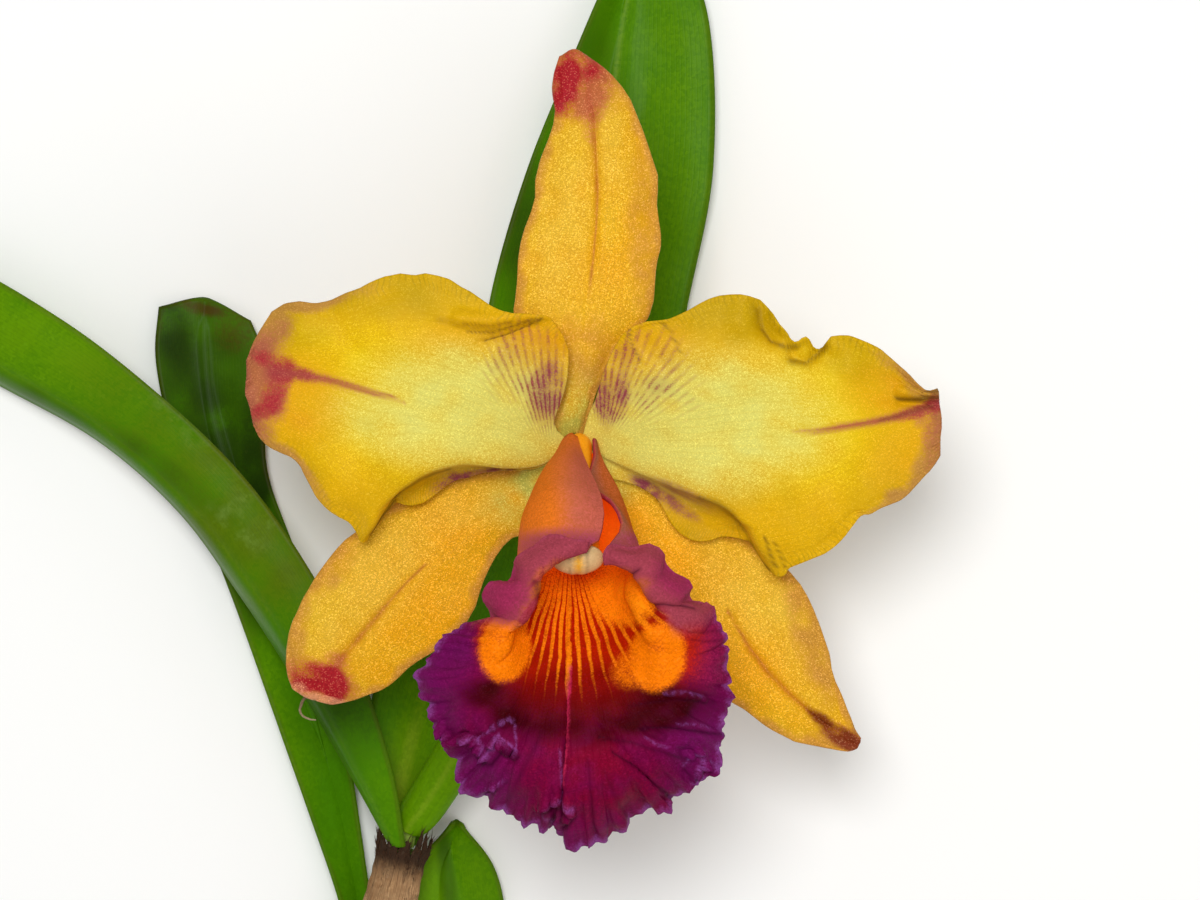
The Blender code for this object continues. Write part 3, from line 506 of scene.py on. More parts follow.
petalRight = {
    "cells": (120, 96), "seed": 23, "waveMm": 0.35, "spokes": (602, 452, 4.8),
    "tuckEnds": (0.60, 0.50), "foldAt": 0.25, "foldSharp": 3.5, "foldSpread": 1.7,
    "rails": (
        """-1.3 -.9 50 2.9 -5.3 49.2 9.5 -7.7 48 14.9 -15.5 47.5 21.1 -16 48 31.6 -22.8 52 40 -19.3 54 47.9
        -11.7 55 55.4 -7.9 55 61.3 -1.4 54""",
        """-1.1 -.2 50.3 5.8 -3.2 53 12.2 -5.9 55.5 17.9 -8.1 57 22.8 -10.2 57.5 27.3 -13.5 57 34.1 -12.6
        56.5 43.1 -8.1 56 52.2 -1.8 55.5 61.3 1.8 54""",
        """-.9 .7 50.6 5.4 1.8 53.5 11.7 2.2 56 18.8 2.5 57.5 26.9 2.9 58 34.9 3.4 58 42.1 4.1 57.5 48.5
        5.2 56.5 54.9 7 55 61.5 5.4 54""",
        """-1.1 1.4 50.6 2.2 6.3 54 6.3 11.7 57 11.6 14.3 59 18.8 15.7 60 26.8 16.4 60 34.9 14.3 59.5 43
        12.9 58 52.1 11.5 56 60.9 9.6 54""",
        """-1.4 2.4 50.4 -.4 8.6 54.5 .7 15.1 57 3.9 20.6 59 12.9 23.4 60 23.9 28.4 60.5 34 20.2 59 43.3 21
        58.5 53.5 15.4 56.5 60.6 11 54""",
    ),
    "upperEdgePx": """583 440 586 427 590 413 596 400 600 386 604 372 610 358 616 346 622 336 630 329 638
        325 647 322 658 321 668 320 680 315 690 310 700 304 710 299 720 296 730 295 740 295 750 297 760 300
        767 307 773 315 777 323 783 329 788 336 792 342 797 343 801 339 805 337 809 340 813 347 818 350 823
        348 827 342 831 337 840 336 850 336 860 340 870 344 880 349 890 358 900 367 910 376 918 385 925 391
        931 391 937 389""",
    "lowerEdgePx": """593 455 602 470 612 478 625 481 637 485 648 491 656 497 662 505 667 515 672 524 680
        533 690 539 700 541 710 540 720 536 730 536 740 538 750 541 757 552 763 562 770 571 778 577 785 575
        788 568 795 565 805 561 815 557 825 553 832 548 838 543 845 535 850 528 857 519 862 514 870 514 880
        508 890 504 900 500 908 494 915 486 922 478 930 470 936 462 940 455""",
    "blots": {
        "sun": "800 420 100 60 -6 1.3 1 850 400 50 20 -8 1.2 .8",
        "pale": "690 425 112 60 -4 1.2 1 750 440 70 34 0 1.2 .7 610 440 40 36 0 1 .8",
        "amber": "895 395 46 30 10 1.2 .7 650 350 40 24 -20 1.2 .45 905 450 40 40 0 1.3 .5",
        "upper": "735 318 70 26 0 1.2 1 860 360 60 22 20 1.2 .7",
        "tan": "935 460 18 46 24 1 .85 920 385 20 14 45 1 .6",
        "blush": "936 434 14 40 4 1 .6 928 416 18 14 0 1.1 .5",
        "flush": "934 404 9 9 0 1 .9 912 414 22 6 -14 1.1 .7",
        "stripes": """611 394 22 30 -10 .9 1 640 372 46 48 -14 .9 .62 672 380 30 40 -20 1 .4 660 496 38 14
            26 1 .7 694 502 24 14 20 1.1 .5""",
        "patch": """652 490 25 7 32 .9 1 676 504 24 6 34 1.1 .9 682 490 28 4.5 24 1.2 .65 605 402 9 22 -8
            1.2 .6 623 392 7 20 4 1.2 .5""",
    },
    "rimTan": (915, 440, 70, 90, 0, 0.9),
    "streakPx": "792 432 .6 815 431 2.2 840 427 3.4 865 423 3.6 890 418 4 915 412 5 937 404 7",
    # painted shade: dark lines along the folds and under the ruffles
    "creaseShadeLines": """2.4 1 896 397 915 398 938 397, 1.6 .8 926 391 934 393 939 389, 2.2 .45 880 420 905 414
        932 406, 3.2 .8 758 310 760 328 770 342 785 347 796 346, 3.6 .7 790 362 805 364 818 355 826 346,
        1.3 .6 628 329 632 345 641 362, 1.3 .6 662 322 672 335 681 352, 2.6 .6 700 496 718 502 734 514 746
        530, 1.8 .9 750 540 758 556 770 570, 1.5 .8 764 536 770 552 777 568, 1.3 .7 774 540 780 554 785
        566""",
    "ruffles": """8 -1.6 758 305 760 325 772 342, 14 1 745 300 742 320, 6 1.6 776 318 786 332, 7 -1.8 792
        356 806 362 820 352, 6 1.3 800 340 806 338, 14 1.2 838 340 850 352 850 370, 5 1.3 900 390 918 394
        936 394, 5 -.9 900 403 920 404 938 403, 9 -.5 640 330 648 350 665 365, 16 .6 700 320 705 350, 14 .7
        850 530 830 500, 12 -.6 880 500 860 475, 14 .6 800 556 790 520 770 490""",
}

tissueGold = petalMaterial(petalSkin)
makePetal("petalLeft", petalLeft, tissueGold, "petal_left")
makePetal("petalRight", petalRight, tissueGold, "petal_right")
print("petals made")


# Sepals: thicker and more orange than the petals, with a denser glitter

# deep is the sepals' saturated orange, painted brighter than it is: painted light on the sides that turn from
# the lamp
sepalSkin = {
    "cellMm": 0.17, "amber": "#E2A408", "yellow": "#E4B41A", "deep": "#FFB006", "frost": "#E6BC36",
    "tan": "#C48634", "midrib": "#B2601C", "crimson": "#A81822", "rose": "#B45038", "claw": "#BCBA50",
    "dark": "#7A2A0C", "pinkRim": "#D8906A",
}


def sepalMaterial(skin):
    # Thick tissue under a coarser painted glitter: to the eye a frosted amber, deeper than the petals
    material, add, place = newMaterial("sepal, thick amber tissue", Roughness=0.48, Specular_IOR_Level=0.12)
    grain, dome = cellGrain(add, place, skin["cellMm"])
    veins = veinLines(add, 22, 0.04, place, 0.6)
    _, cloudy = clouds(add, place, 0.11, 5.0, 0.42, 0.7)
    colour = glaze(add, skin, "amber", [
        # deep: the saturated orange, partly painted light
        ("yellow", cloudy, 0.8), ("deep", 0.8), ("frost", 0.62), ("claw", 0.95), ("tan", veins, 0.07),
        ("tan", mottled(add, place, "tan", 0.9, 0.6), 0.8), ("midrib", "streak", 0.75),
        ("rose", mottled(add, place, "rose", 1.1, 0.7), 0.8),
        ("crimson", mottled(add, place, "flush", 1.3, 0.7), 1.0), ("pinkRim", 0.8),
        ("dark", mottled(add, place, "dark", 1.3, 0.7), 0.9),
    ], grain, 2.6)
    colour = speckle(add, colour, grain, 0.78, 1.12, 0.82, "#FFF0B0", 0.6)
    return finishSkin(material, colour, (dome, 0.45, 0.1, True), (veins, 0.15, 0.2, True))


def makeSepal(name, spec, material, node):
    points = loft(spec["rails"], *spec["cells"])
    v = np.linspace(0, 1, points.shape[1])[None, :]
    fitEdge(points, 0, spec["lowEdgePx"], smooth(v, 0.5, 0.0))
    fitEdge(points, -1, spec["highEdgePx"], smooth(v, 0.5, 1.0))
    seen = seenPx(points)
    for _, lift, mark in drawn(seen, spec["ruffles"]):
        points[..., 2] += lift * mark
    alongMm, acrossMm, rim = bladePlaces(points)
    groove = bell(acrossMm, 0.9) * smooth(alongMm[-1, 0] - alongMm, 0, 6)
    points[..., 2] -= 0.45 * groove * smooth(alongMm, 3, 10)
    points[..., 2] += smooth(rim, 3.5, 0) * 0.28 * ripple(alongMm, v * 30, 7, spec["seed"])
    points[..., 2] += 0.14 * rippleOver(points, 8, spec["seed"] + 1) * smooth(alongMm, 3, 15)
    uneven = 0.3 * rippleOver(seen, 34, spec["seed"] + 2)
    marks = painted(seen, spec["blots"], uneven)
    marks["tan"] = np.maximum(marks["tan"], 0.85 * smooth(rim + uneven / 0.6, 2.6, 0.1))
    marks["streak"] = np.clip(stroke(seen, table(3, spec["streakPx"])) * (1 + uneven), 0, 1)
    mesh = bladeMesh(name, points, 0.5 + 0.6 * smooth(rim, 0.0, 5.0), marks)
    addPiece(mesh, material, [node])


dorsalSepal = {
    "cells": (110, 40), "seed": 31,
    "rails": (
        """-6.7 3.3 47.8 -7.8 7.6 50 -10 13.6 51 -13.2 20.3 51.5 -15 30.2 51.5 -13.2 42.5 51 -10.9 52.9
        50.5 -8.5 63.5 49.5 -7.3 71.6 48""",
        """-4.8 3.3 48 -4.3 8.1 51 -3.3 14.5 52.5 -2.5 21.7 53 -1.8 29.8 53 -.5 42.4 53 -.5 52.4 52.5 -1.4
        62.5 51 -4.7 72.7 48.5""",
        """-2.9 3.3 47.8 -1.5 7.6 50 1.1 13.4 51 5.8 19.9 51.5 10.3 29.8 51.5 10.9 42.5 51 9.8 52.5 50.5
        4.5 64.9 49.5 -2.2 71.6 48""",
    ),
    "lowEdgePx": """553 440 552 430 556 416 560 400 557 382 542 352 523 328 514 312 516 300 518 280 519 260
        521 245 525 230 532 212 536 198 536 180 541 160 549 140 554 125 556 110 554 100 553 88 555 72 560
        57""",
    "highEdgePx": """582 434 588 420 592 404 597 388 606 372 620 350 636 332 648 317 653 300 654 285 655
        270 657 258 660 248 660 235 658 220 656 205 657 190 657 175 652 160 647 145 642 130 636 115 630 100
        622 88 612 76 602 67 592 60 586 56""",
    "streakPx": "590 305 1 592 265 1.8 596 225 2.4 597 195 3 594 150 3.2 590 110 4 586 75 6",
    "blots": {
        "deep": "590 250 60 90 0 1.4 .15",
        "frost": "560 220 26 90 6 1.3 .9 608 135 20 56 -10 1.3 .8 585 300 30 40 0 1.3 .15",
        "claw": "574 438 26 34 0 1 1 580 400 22 40 0 1.2 .45",
        # tan: the tip blot is the tip's own tan; the long blot down the right side and the low blot behind
        # the petals are painted shade
        "tan": "600 85 28 34 30 1.2 .7 644 230 18 90 0 1.2 .5 585 355 44 40 0 1.2 .45",
        "rose": "580 82 32 36 0 .9 1 592 112 12 28 0 1.2 .6",
        "flush": "566 84 15 32 8 .9 .95 582 66 20 14 30 1 .6",
    },
    "ruffles": """5 -.5 596 110 598 180 594 260, 10 -.7 655 200 650 215, 10 .8 659 240 650 250, 12 .5 525
        235 535 240, 9 -.5 539 190 548 192, 4 1 556 75 557 95""",
}

leftSepal = {
    "cells": (110, 40), "seed": 41,
    "rails": (
        """-7.5 .5 47.8 -14.6 -3.5 44.6 -22.8 -4.4 43.5 -32 -6.9 43 -41.2 -12.3 43 -49.4 -19.6 43 -55 -28.4
        42.5 -57.4 -36.7 41.5 -55.7 -44.1 40.5""",
        """-6.4 -1.1 48 -13.7 -7.3 46.5 -20.1 -11.5 45.5 -27 -16.8 45 -33.8 -22.8 45 -40.2 -29.8 44.5 -45.7
        -36.2 44 -50.3 -41.6 43 -54 -45.2 41""",
        """-5.3 -2.5 47.8 -11.9 -11.9 46 -16.4 -16.1 44.5 -21 -21.6 44 -24.2 -29.6 43.5 -29.7 -35.7 43
        -36.3 -41.6 42.5 -44.4 -45.7 41.5 -51.8 -46.3 40.5""",
    ),
    "lowEdgePx": """559 447 520 469 475 474 425 488 385 508 356 533 345 541 335 552 325 565 316 578 310 588
        303 600 298 612 293 622 289 636 287 650 287 665 289 678 293 688""",
    "highEdgePx": """571 464 550 495 535 520 523 534 512 537 503 545 495 556 489 567 483 580 479 592 475
        606 466 622 450 640 430 653 418 660 408 667 399 676 390 684 380 690 368 694 355 699 343 702 332 704
        322 701""",
    "streakPx": "425 565 1 408 582 2.2 388 604 3.4 370 625 4.6 355 643 4.6 345 655 5 330 675 7",
    "blots": {
        # deep: saturated orange, and painted light where the sepal turns from the lamp
        "deep": "430 600 70 60 -45 1.3 .6 470 520 60 30 -30 1.3 .6",
        "frost": "375 575 60 34 -50 1.3 1 320 620 30 50 20 1.3 .8 480 500 60 22 -20 1.3 .8",
        "claw": "540 478 34 20 -20 1.1 .9 515 500 30 26 -30 1.3 .4",
        "tan": "296 640 12 50 10 1.1 .8 335 570 14 34 40 1.2 .5",
        "rose": "322 680 36 20 20 .9 .8 335 664 16 14 0 1 .5",
        "flush": "320 677 25 15 8 .8 1 336 689 13 13 30 .8 1 304 684 12 8 10 .9 1",
        "pinkRim": "322 700 34 5 10 .9 1 298 690 8 8 40 1 .7",
    },
    "ruffles": """6 -.5 408 580 370 625 345 655, 16 .4 350 590 320 640, 4 1.1 296 690 312 696 328 702, 12
        .5 470 600 455 615""",
}

rightSepal = {
    "cells": (110, 40), "seed": 53,
    "rails": (
        """-.2 0 47.8 7.3 -5.1 44.6 16.4 -9.1 43.5 24.7 -14.6 43 32 -20.1 43 37.2 -26 43 40.7 -33.9 42.5
        43.6 -44 42 47.9 -52.8 41.5""",
        """-1.5 -1.6 48 4.6 -9.1 46.5 10 -15.5 45.5 16.4 -22.8 45 22.8 -30.7 45 28.7 -38 44.5 33.8 -43.9 44
        39.9 -49.1 43 47.5 -53.8 41.5""",
        """-2.9 -2.9 47.8 1.5 -12.8 46 4 -20.1 44.5 8.2 -28.3 44 13.2 -35.7 43.5 19.2 -43 43 26.6 -47.6
        42.5 35.8 -53.2 42 46.2 -55.2 41.5""",
    ),
    "lowEdgePx": """599 450 640 478 690 500 735 530 770 556 788 571 800 585 807 597 813 610 819 625 824 640
        829 655 831 670 835 682 841 695 846 708 851 720 855 731 860 739""",
    "highEdgePx": """584 466 608 520 622 560 645 605 672 645 705 685 729 700 745 709 755 717 765 725 775
        731 785 736 795 741 810 744 825 747 840 750 850 751 856 748""",
    "streakPx": "728 610 1.5 750 650 3.5 770 675 4.5 790 695 4 810 712 4 830 728 4.5 856 744 5",
    "blots": {
        # deep: saturated orange, and painted light where the sepal turns from the lamp
        "deep": "740 650 30 70 -35 1.3 .6 650 540 60 24 48 1.2 .9",
        "frost": "760 590 52 44 30 1.3 1 800 640 30 60 -20 1.3 .45 700 520 60 22 30 1.3 .8",
        "claw": "612 482 26 20 30 1.1 .5",
        "tan": "814 630 22 70 -14 1.1 .8 835 740 30 8 12 1.1 .7",
        "rose": "845 738 26 10 34 1 .7",
        "dark": "842 736 30 9 32 1 1 824 722 22 7 38 1.1 1",
    },
    "ruffles": "5 -.6 730 615 770 675 810 712 850 740, 8 .6 832 672 822 678, 18 .4 790 600 800 650",
}

tissueAmber = sepalMaterial(sepalSkin)
makeSepal("dorsalSepal", dorsalSepal, tissueAmber, "dorsal_sepal")
makeSepal("lateralSepalLeft", leftSepal, tissueAmber, "lateral_sepal_left")
makeSepal("lateralSepalRight", rightSepal, tissueAmber, "lateral_sepal_right")
print("sepals made")


# The lip: side lobes rolled into a tube, and a broad middle lobe with a crisp frilled margin

lip = {
    "tubeStart": (-3.8, 0.5, 52.6), "tubeEnd": (-4.0, -19.0, 79.0),
    "tubeRings": ((0.0, 3.1), (5.0, 4.5), (12.0, 7.0), (19.5, 8.8), (26.0, 9.9)),  # distance, radius
    "leftWrap": 213.0, "rightWrap": 120.0, "floorRay": 11, "firstThroatRay": 6,
    "cellsPerRay": 22, "cellsDeep": 16, "cellsOuter": 74, "outerFrom": 0.62, "seed": 67,
    "waveMm": 0.95, "crispMm": 0.45, "toothMm": 0.38, "foldMm": 0.35, "lobeFrom": 0.6,
    "margin": """-1.4 -15.7 86.4 -6.9 -15 86.6 -12.1 -16.8 85.4 -16.3 -20.4 84 -20.4 -24.6 82.5 -20.1 -29.1
        81 -27.8 -33 79 -31.4 -40 77 -28 -50.5 75.5 -22.9 -60.3 74 -14.5 -64.8 73.5 -5.6 -69.9 73 3.5 -67
        73.5 13.2 -61.8 74 20.6 -55 75.5 22.4 -45.3 77 21.9 -33 79.5 19.8 -27 81 16.3 -24.6 82.5 13.3 -20.8
        83.5 8.6 -16.1 85 3.1 -16.2 86 .7 -18.2 86.4""",
    "crest": """-1.7 -17.7 85 -6.5 -18.4 86 -9.5 -20.1 86.5 -11.2 -22.3 86.5 -12 -25.5 86 -13.8 -29.3 85.5
        -19 -33.6 85 -22.8 -39.7 84.5 -19.8 -46.6 84.5 -16.4 -52.6 84.5 -11.2 -56 85 -5.3 -57.7 85 .9 -56.5
        85 6.9 -53.8 84.5 12.1 -49.1 84.5 14.7 -42.2 84.5 15.2 -35.3 85 13.4 -30.1 85.5 10.7 -26.8 86 8.9
        -24.1 86.5 6.9 -21 86.5 3.4 -19.4 86 1 -20 85""",
    "throat": """-15.2 -31.4 84 -15.9 -34.5 83.5 -13.8 -38.4 83 -11.2 -39.8 82 -8.3 -39.8 81.3 -5.2 -39.5
        81 -1.7 -39.8 81.3 1.4 -39.8 82 4.3 -38.4 82.8 6.4 -35.4 83.3 7.8 -32.3 84 6.9 -28.9 85""",
    "marginPx": """591 541 580 540 570 539 559 537 548 536 540 540 533 546 524 550 515 556 510 563 508 571
        507 577 498 578 489 581 483 588 479 596 479 605 482 613 486 618 476 617 466 620 456 626 447 633 438
        642 430 653 424 663 420 673 419 684 421 694 425 702 428 712 428 722 432 729 440 733 444 740 446 749
        451 757 455 767 459 778 466 788 474 795 481 801 487 801 494 806 505 810 513 813 516 821 522 826 531
        825 537 824 543 831 549 831 553 826 559 828 562 836 566 841 567 849 575 851 580 846 588 840 596 842
        604 845 611 842 613 834 621 836 625 828 632 820 640 815 650 812 662 812 672 812 675 806 674 799 682
        794 690 786 698 779 708 777 716 773 721 764 722 752 724 740 720 731 723 724 725 714 730 706 727 698
        727 684 729 668 729 652 726 638 721 626 719 617 718 606 711 600 702 598 694 597 695 588 691 579 684
        574 677 571 672 565 669 556 662 547 651 543 640 545 630 547 619 545 611 547 606 552 604 557""",
    "ridges": """2.6 2 438 726 452 742 462 738 470 737 478 748 487 756 497 740 507 752 518 757, 4 .7 470
        728 490 728 512 718, 2.6 .8 478 792 492 786 500 784, 3 1.3 536 806 548 800 566 800 572 812 562 822,
        3.2 1.3 688 756 698 752 706 762 698 774 690 774, 3 .6 640 728 668 738 692 748, 3 .7 668 692 700 698
        722 708, 3 -.5 567 700 566 760 562 800, 4 -.5 600 720 630 760 668 800, 6 -.5 530 720 505 770, 9 -.4
        620 610 600 640 585 620, 12 1.1 628 592 640 600, 9 .7 545 590 540 606, 12 .7 500 640 505 665, 14 .7
        655 640 660 665, 2.2 .45 571 590 570 640 568 690""",
    "folds": """1.8 1 612 752 630 764 648 778 662 790 674 799, 1.8 .9 640 729 668 727 694 731 722 735, 2
        .45 630 706 656 701 684 699 714 703, 2.6 .5 600 738 630 742 664 752 690 762, 1.8 .8 564 745 562 770
        563 800 566 826, 3 .4 541 735 524 768 506 806, 2.2 .4 588 760 592 800 596 838, 2.2 .35 604 770 616
        800 628 820, 2.6 .9 472 746 480 762 492 764 504 750 518 757, 1.8 .5 482 797 492 792 506 782, 1.8 .9
        540 812 556 806 574 816 566 828, 1.8 .7 684 770 697 776 710 770, 1.3 .6 690 640 706 642 726 640,
        1.1 .5 686 632 704 633 722 631, 1.6 .8 606 568 622 571 640 569, 1.8 .8 654 600 672 606 692 610, 2
        .7 534 580 533 598 536 610""",
    "glints": """1.5 .9 466 739 474 736 482 745 487 757 496 744 500 733, 1.3 .8 478 738 494 727 508 719 514
        722, 1.9 1 497 738 506 742 516 752, 1.2 .7 514 724 515 738 517 752, 1 .6 478 794 488 788 504 780,
        1.6 .9 541 808 550 801 563 800 572 806, 1.4 .7 544 815 554 822 564 818, 1.2 .5 559 748 560 770 562
        796, 1.4 .9 684 766 692 758 700 752 702 764 696 772, 1.3 .7 702 770 710 760 714 768, 1.2 .6 646 737
        656 744 666 746, 1.2 .6 664 693 684 692 704 697, 1.1 .5 676 723 694 724 708 728""",
    "frontBlots": {
        "violet": """440 680 38 70 10 1.2 .9 480 780 50 40 35 1.2 .8 700 740 34 56 0 1.2 .8 590 835 120 26
            0 1.1 .7""",
        "wine": """590 762 46 44 0 1.3 1 600 796 80 44 10 1.3 .6 540 780 30 30 0 1.3 .5 500 700 50 40 0 1.3
            .3""",
        "rose": "700 640 26 44 0 1.1 .9 706 615 22 22 0 1 .7",
        "maroon": """640 708 64 26 -4 .9 1 546 712 38 26 0 1 1 498 696 34 16 8 1 .9 518 704 30 27 0 1 1 590
            722 50 22 0 1.1 .8""",
        "dusk": """585 690 90 26 0 1.1 1 540 672 30 22 20 1.2 .5 648 612 14 10 0 1.1 .7 664 622 24 7 20 1.1
            .6""",
        "scarlet": "590 628 90 70 0 .8 1 507 644 29 36 0 .6 1 662 645 38 44 0 .8 1 612 520 20 50 0 .8 1",
        "flame": "592 592 88 58 0 .9 1 612 525 16 40 0 .8 1",
        "cushion": "622 594 34 30 24 .5 1 548 584 13 24 10 .9 .45",
        "eyes": "505 650 24 31 8 .35 1 657 658 27 33 20 .35 1 636 668 22 16 -30 .9 .7",
        "rays": "582 618 84 70 0 .9 .8 568 636 18 66 0 .6 1",
    },
    "rayCentre": 570.5, "rayFocus": (512, 545), "raySteps": (3.6, 5.6),  # px, px, degrees left and right
    "rayNarrows": (585, 722), "glowFades": (572, 555),  # px down the photograph
    "centreLinePx": "570 668 1 569 690 1.6 568 720 1.9 567 750 1.8 564 785 1",
    "backBlots": {
        "dusty": "584 498 22 48 -14 1.2 .85 612 500 8 56 -14 1 .35",
        "plum": "560 545 50 14 0 1 .8 640 548 40 16 0 1 .8",
    },
    "rollAreas": {  # the roll stays off the cushions and is plum low down
        "kept": "616 598 37 29 24 .2 1 552 592 20 26 10 .5 1",
        "plum": "498 592 30 26 -30 .9 1 678 578 26 20 30 .9 1",
    },
    "leftFlapPx": """0 577 438 .1 579 446 .2 583 457 .33 589 471 .43 596 486 .53 601 499 .63 603 514 .7 601
        530 .76 598 540 .8 590 545 .857 586 552 1 589 541""",
    "rightFlapPx": """0 594 439 .12 595 456 .23 590 472 .33 590 484 .42 599 493 .5 610 500 .57 618 511 .63
        622 523 .68 620 533 .74 611 544 .8 606 554 .857 605 565 1 603 556""",
    # glow is painted light: the bright orange that the inside of the tube shows and emits
    "orange": "#DC701C", "dusty": "#CA6C46", "plum": "#9A3C56", "purple": "#6C0438", "violet": "#6C0E54",
    "wine": "#7C0426", "rose": "#921A46", "maroon": "#3A0103", "scarlet": "#B01E02", "flame": "#EA5C04",
    "dusk": "#7A0602", "cushion": "#FF8A0A", "eyes": "#F27804", "rays": "#FA880C", "line": "#C02850",
    "mauve": "#9A58A8", "roll": "#9A3C4A", "plumRoll": "#962450", "glow": "#FF7C10", "shadow": "#2C0218",
    "rust": "#B05014", "dim": "#B0504E", "grey": "#96584A",
}


def throatFrame(spec):  # the tube's start, its direction, the side and the direction to its roof
    start, end = np.array(spec["tubeStart"]), np.array(spec["tubeEnd"])
    forward, sideways = unit(end - start), np.array((1.0, 0, 0))
    return start, forward, sideways, unit(np.cross(forward, sideways))


def lipRows(spec):
    start, forward, sideways, roof = throatFrame(spec)
    margin, crest, throat = (table(3, spec[key]) for key in ("margin", "crest", "throat"))
    rays, floorRay, first = len(margin), spec["floorRay"], spec["firstThroatRay"]
    left = -spec["leftWrap"] * (1 - np.arange(floorRay) / floorRay) ** 1.15
    right = spec["rightWrap"] * np.arange(rays - floorRay) / (rays - 1 - floorRay)
    turn = np.radians(np.concatenate([left, right]))[:, None]
    spokes = np.sin(turn) * sideways - np.cos(turn) * roof
    rows = [start + distance * forward + radius * spokes for distance, radius in spec["tubeRings"]]
    rows.append((rows[-1] + crest) / 2)
    rows[-1][first:first + len(throat)] = throat
    return rows + [crest, margin]


def lipMaterial(spec):
    # Velvet with hardly a shine: to the eye deep purple that turns scarlet and flame towards the throat.
    # Inside the tube the glow mark paints bright orange that also emits light: painted light where the tube
    # lies in shade
    material, add, place = newMaterial("lip, velvety frilled tissue", Roughness=0.5, Specular_IOR_Level=0.02)
    grain, dome = cellGrain(add, place, 0.27)
    drift = add("TexNoise", place, Scale=0.16, Detail=3.0)
    shaky = add("Math:MULTIPLY_ADD", drift, 0.5, "raySpread")
    wave = add("Math:COSINE", add("Math:MULTIPLY", shaky, 2 * math.pi))
    stripe = add("MapRange", add("Math:SUBTRACT", wave, "rayThin"), 0.0, 0.7)
    veins = combed(add, add("Math:MULTIPLY_ADD", drift, 0.35, "ray"), 4.7, 0.4)
    veins = add("Math:MULTIPLY", veins, add("Math:SUBTRACT", 1.0, "roll"))
    broad, cloudy = clouds(add, place, 0.2, 6.0, 0.45, 0.7)
    inner = glaze(add, spec, "purple", [
        ("violet", 0.9), ("wine", 0.9), ("violet", cloudy, 0.35), ("rose", 0.85), ("maroon", veins, 0.10),
        ("scarlet", 1.0), ("flame", 1.0), ("dusk", 0.85), ("maroon", 0.96),
        ("rays", add("Math:MULTIPLY", stripe, "rays"), 0.9), ("cushion", 0.95), ("glow", 1.0), ("eyes", 1.0),
        ("line", "centreLine", 0.8), ("roll", 1.0), ("plumRoll", 0.8), ("shadow", "fold", 0.8),
        # mauve on glint and rim is painted highlight, on the rim mixed with the margin's own pale edge
        ("mauve", "glint", 0.5), ("mauve", "rim", 0.5),
    ], grain, 1.6)
    outer = glaze(add, spec, "orange", [
        ("rust", "rightFlap", 0.8), ("dusty", 0.95), ("dim", "leftEdge", 0.7), ("grey", "rightEdge", 0.8),
        ("plum", 0.9), ("plum", "outerLobe", 0.95), ("mauve", "rim", 0.5),
    ], grain, 1.6)
    both = add("Mix", "side", inner, outer, data_type="RGBA")
    colour = speckle(add, both, grain, 0.84, 1.14, 0.9, "#B060A0", 0.10)
    finishSkin(material, colour, (dome, 0.5, 0.1, True), (veins, 0.22, 0.3, True), (broad, 0.4, 0.6, False))
    shader, link = material.node_tree.nodes["Principled BSDF"], material.node_tree.links.new
    # the glow mark makes the inside of the tube emit light: painted light, not a lamp
    link(both, shader.inputs["Emission Color"])
    link(add("Math:MULTIPLY", "glow", 0.16), shader.inputs["Emission Strength"])
    return material


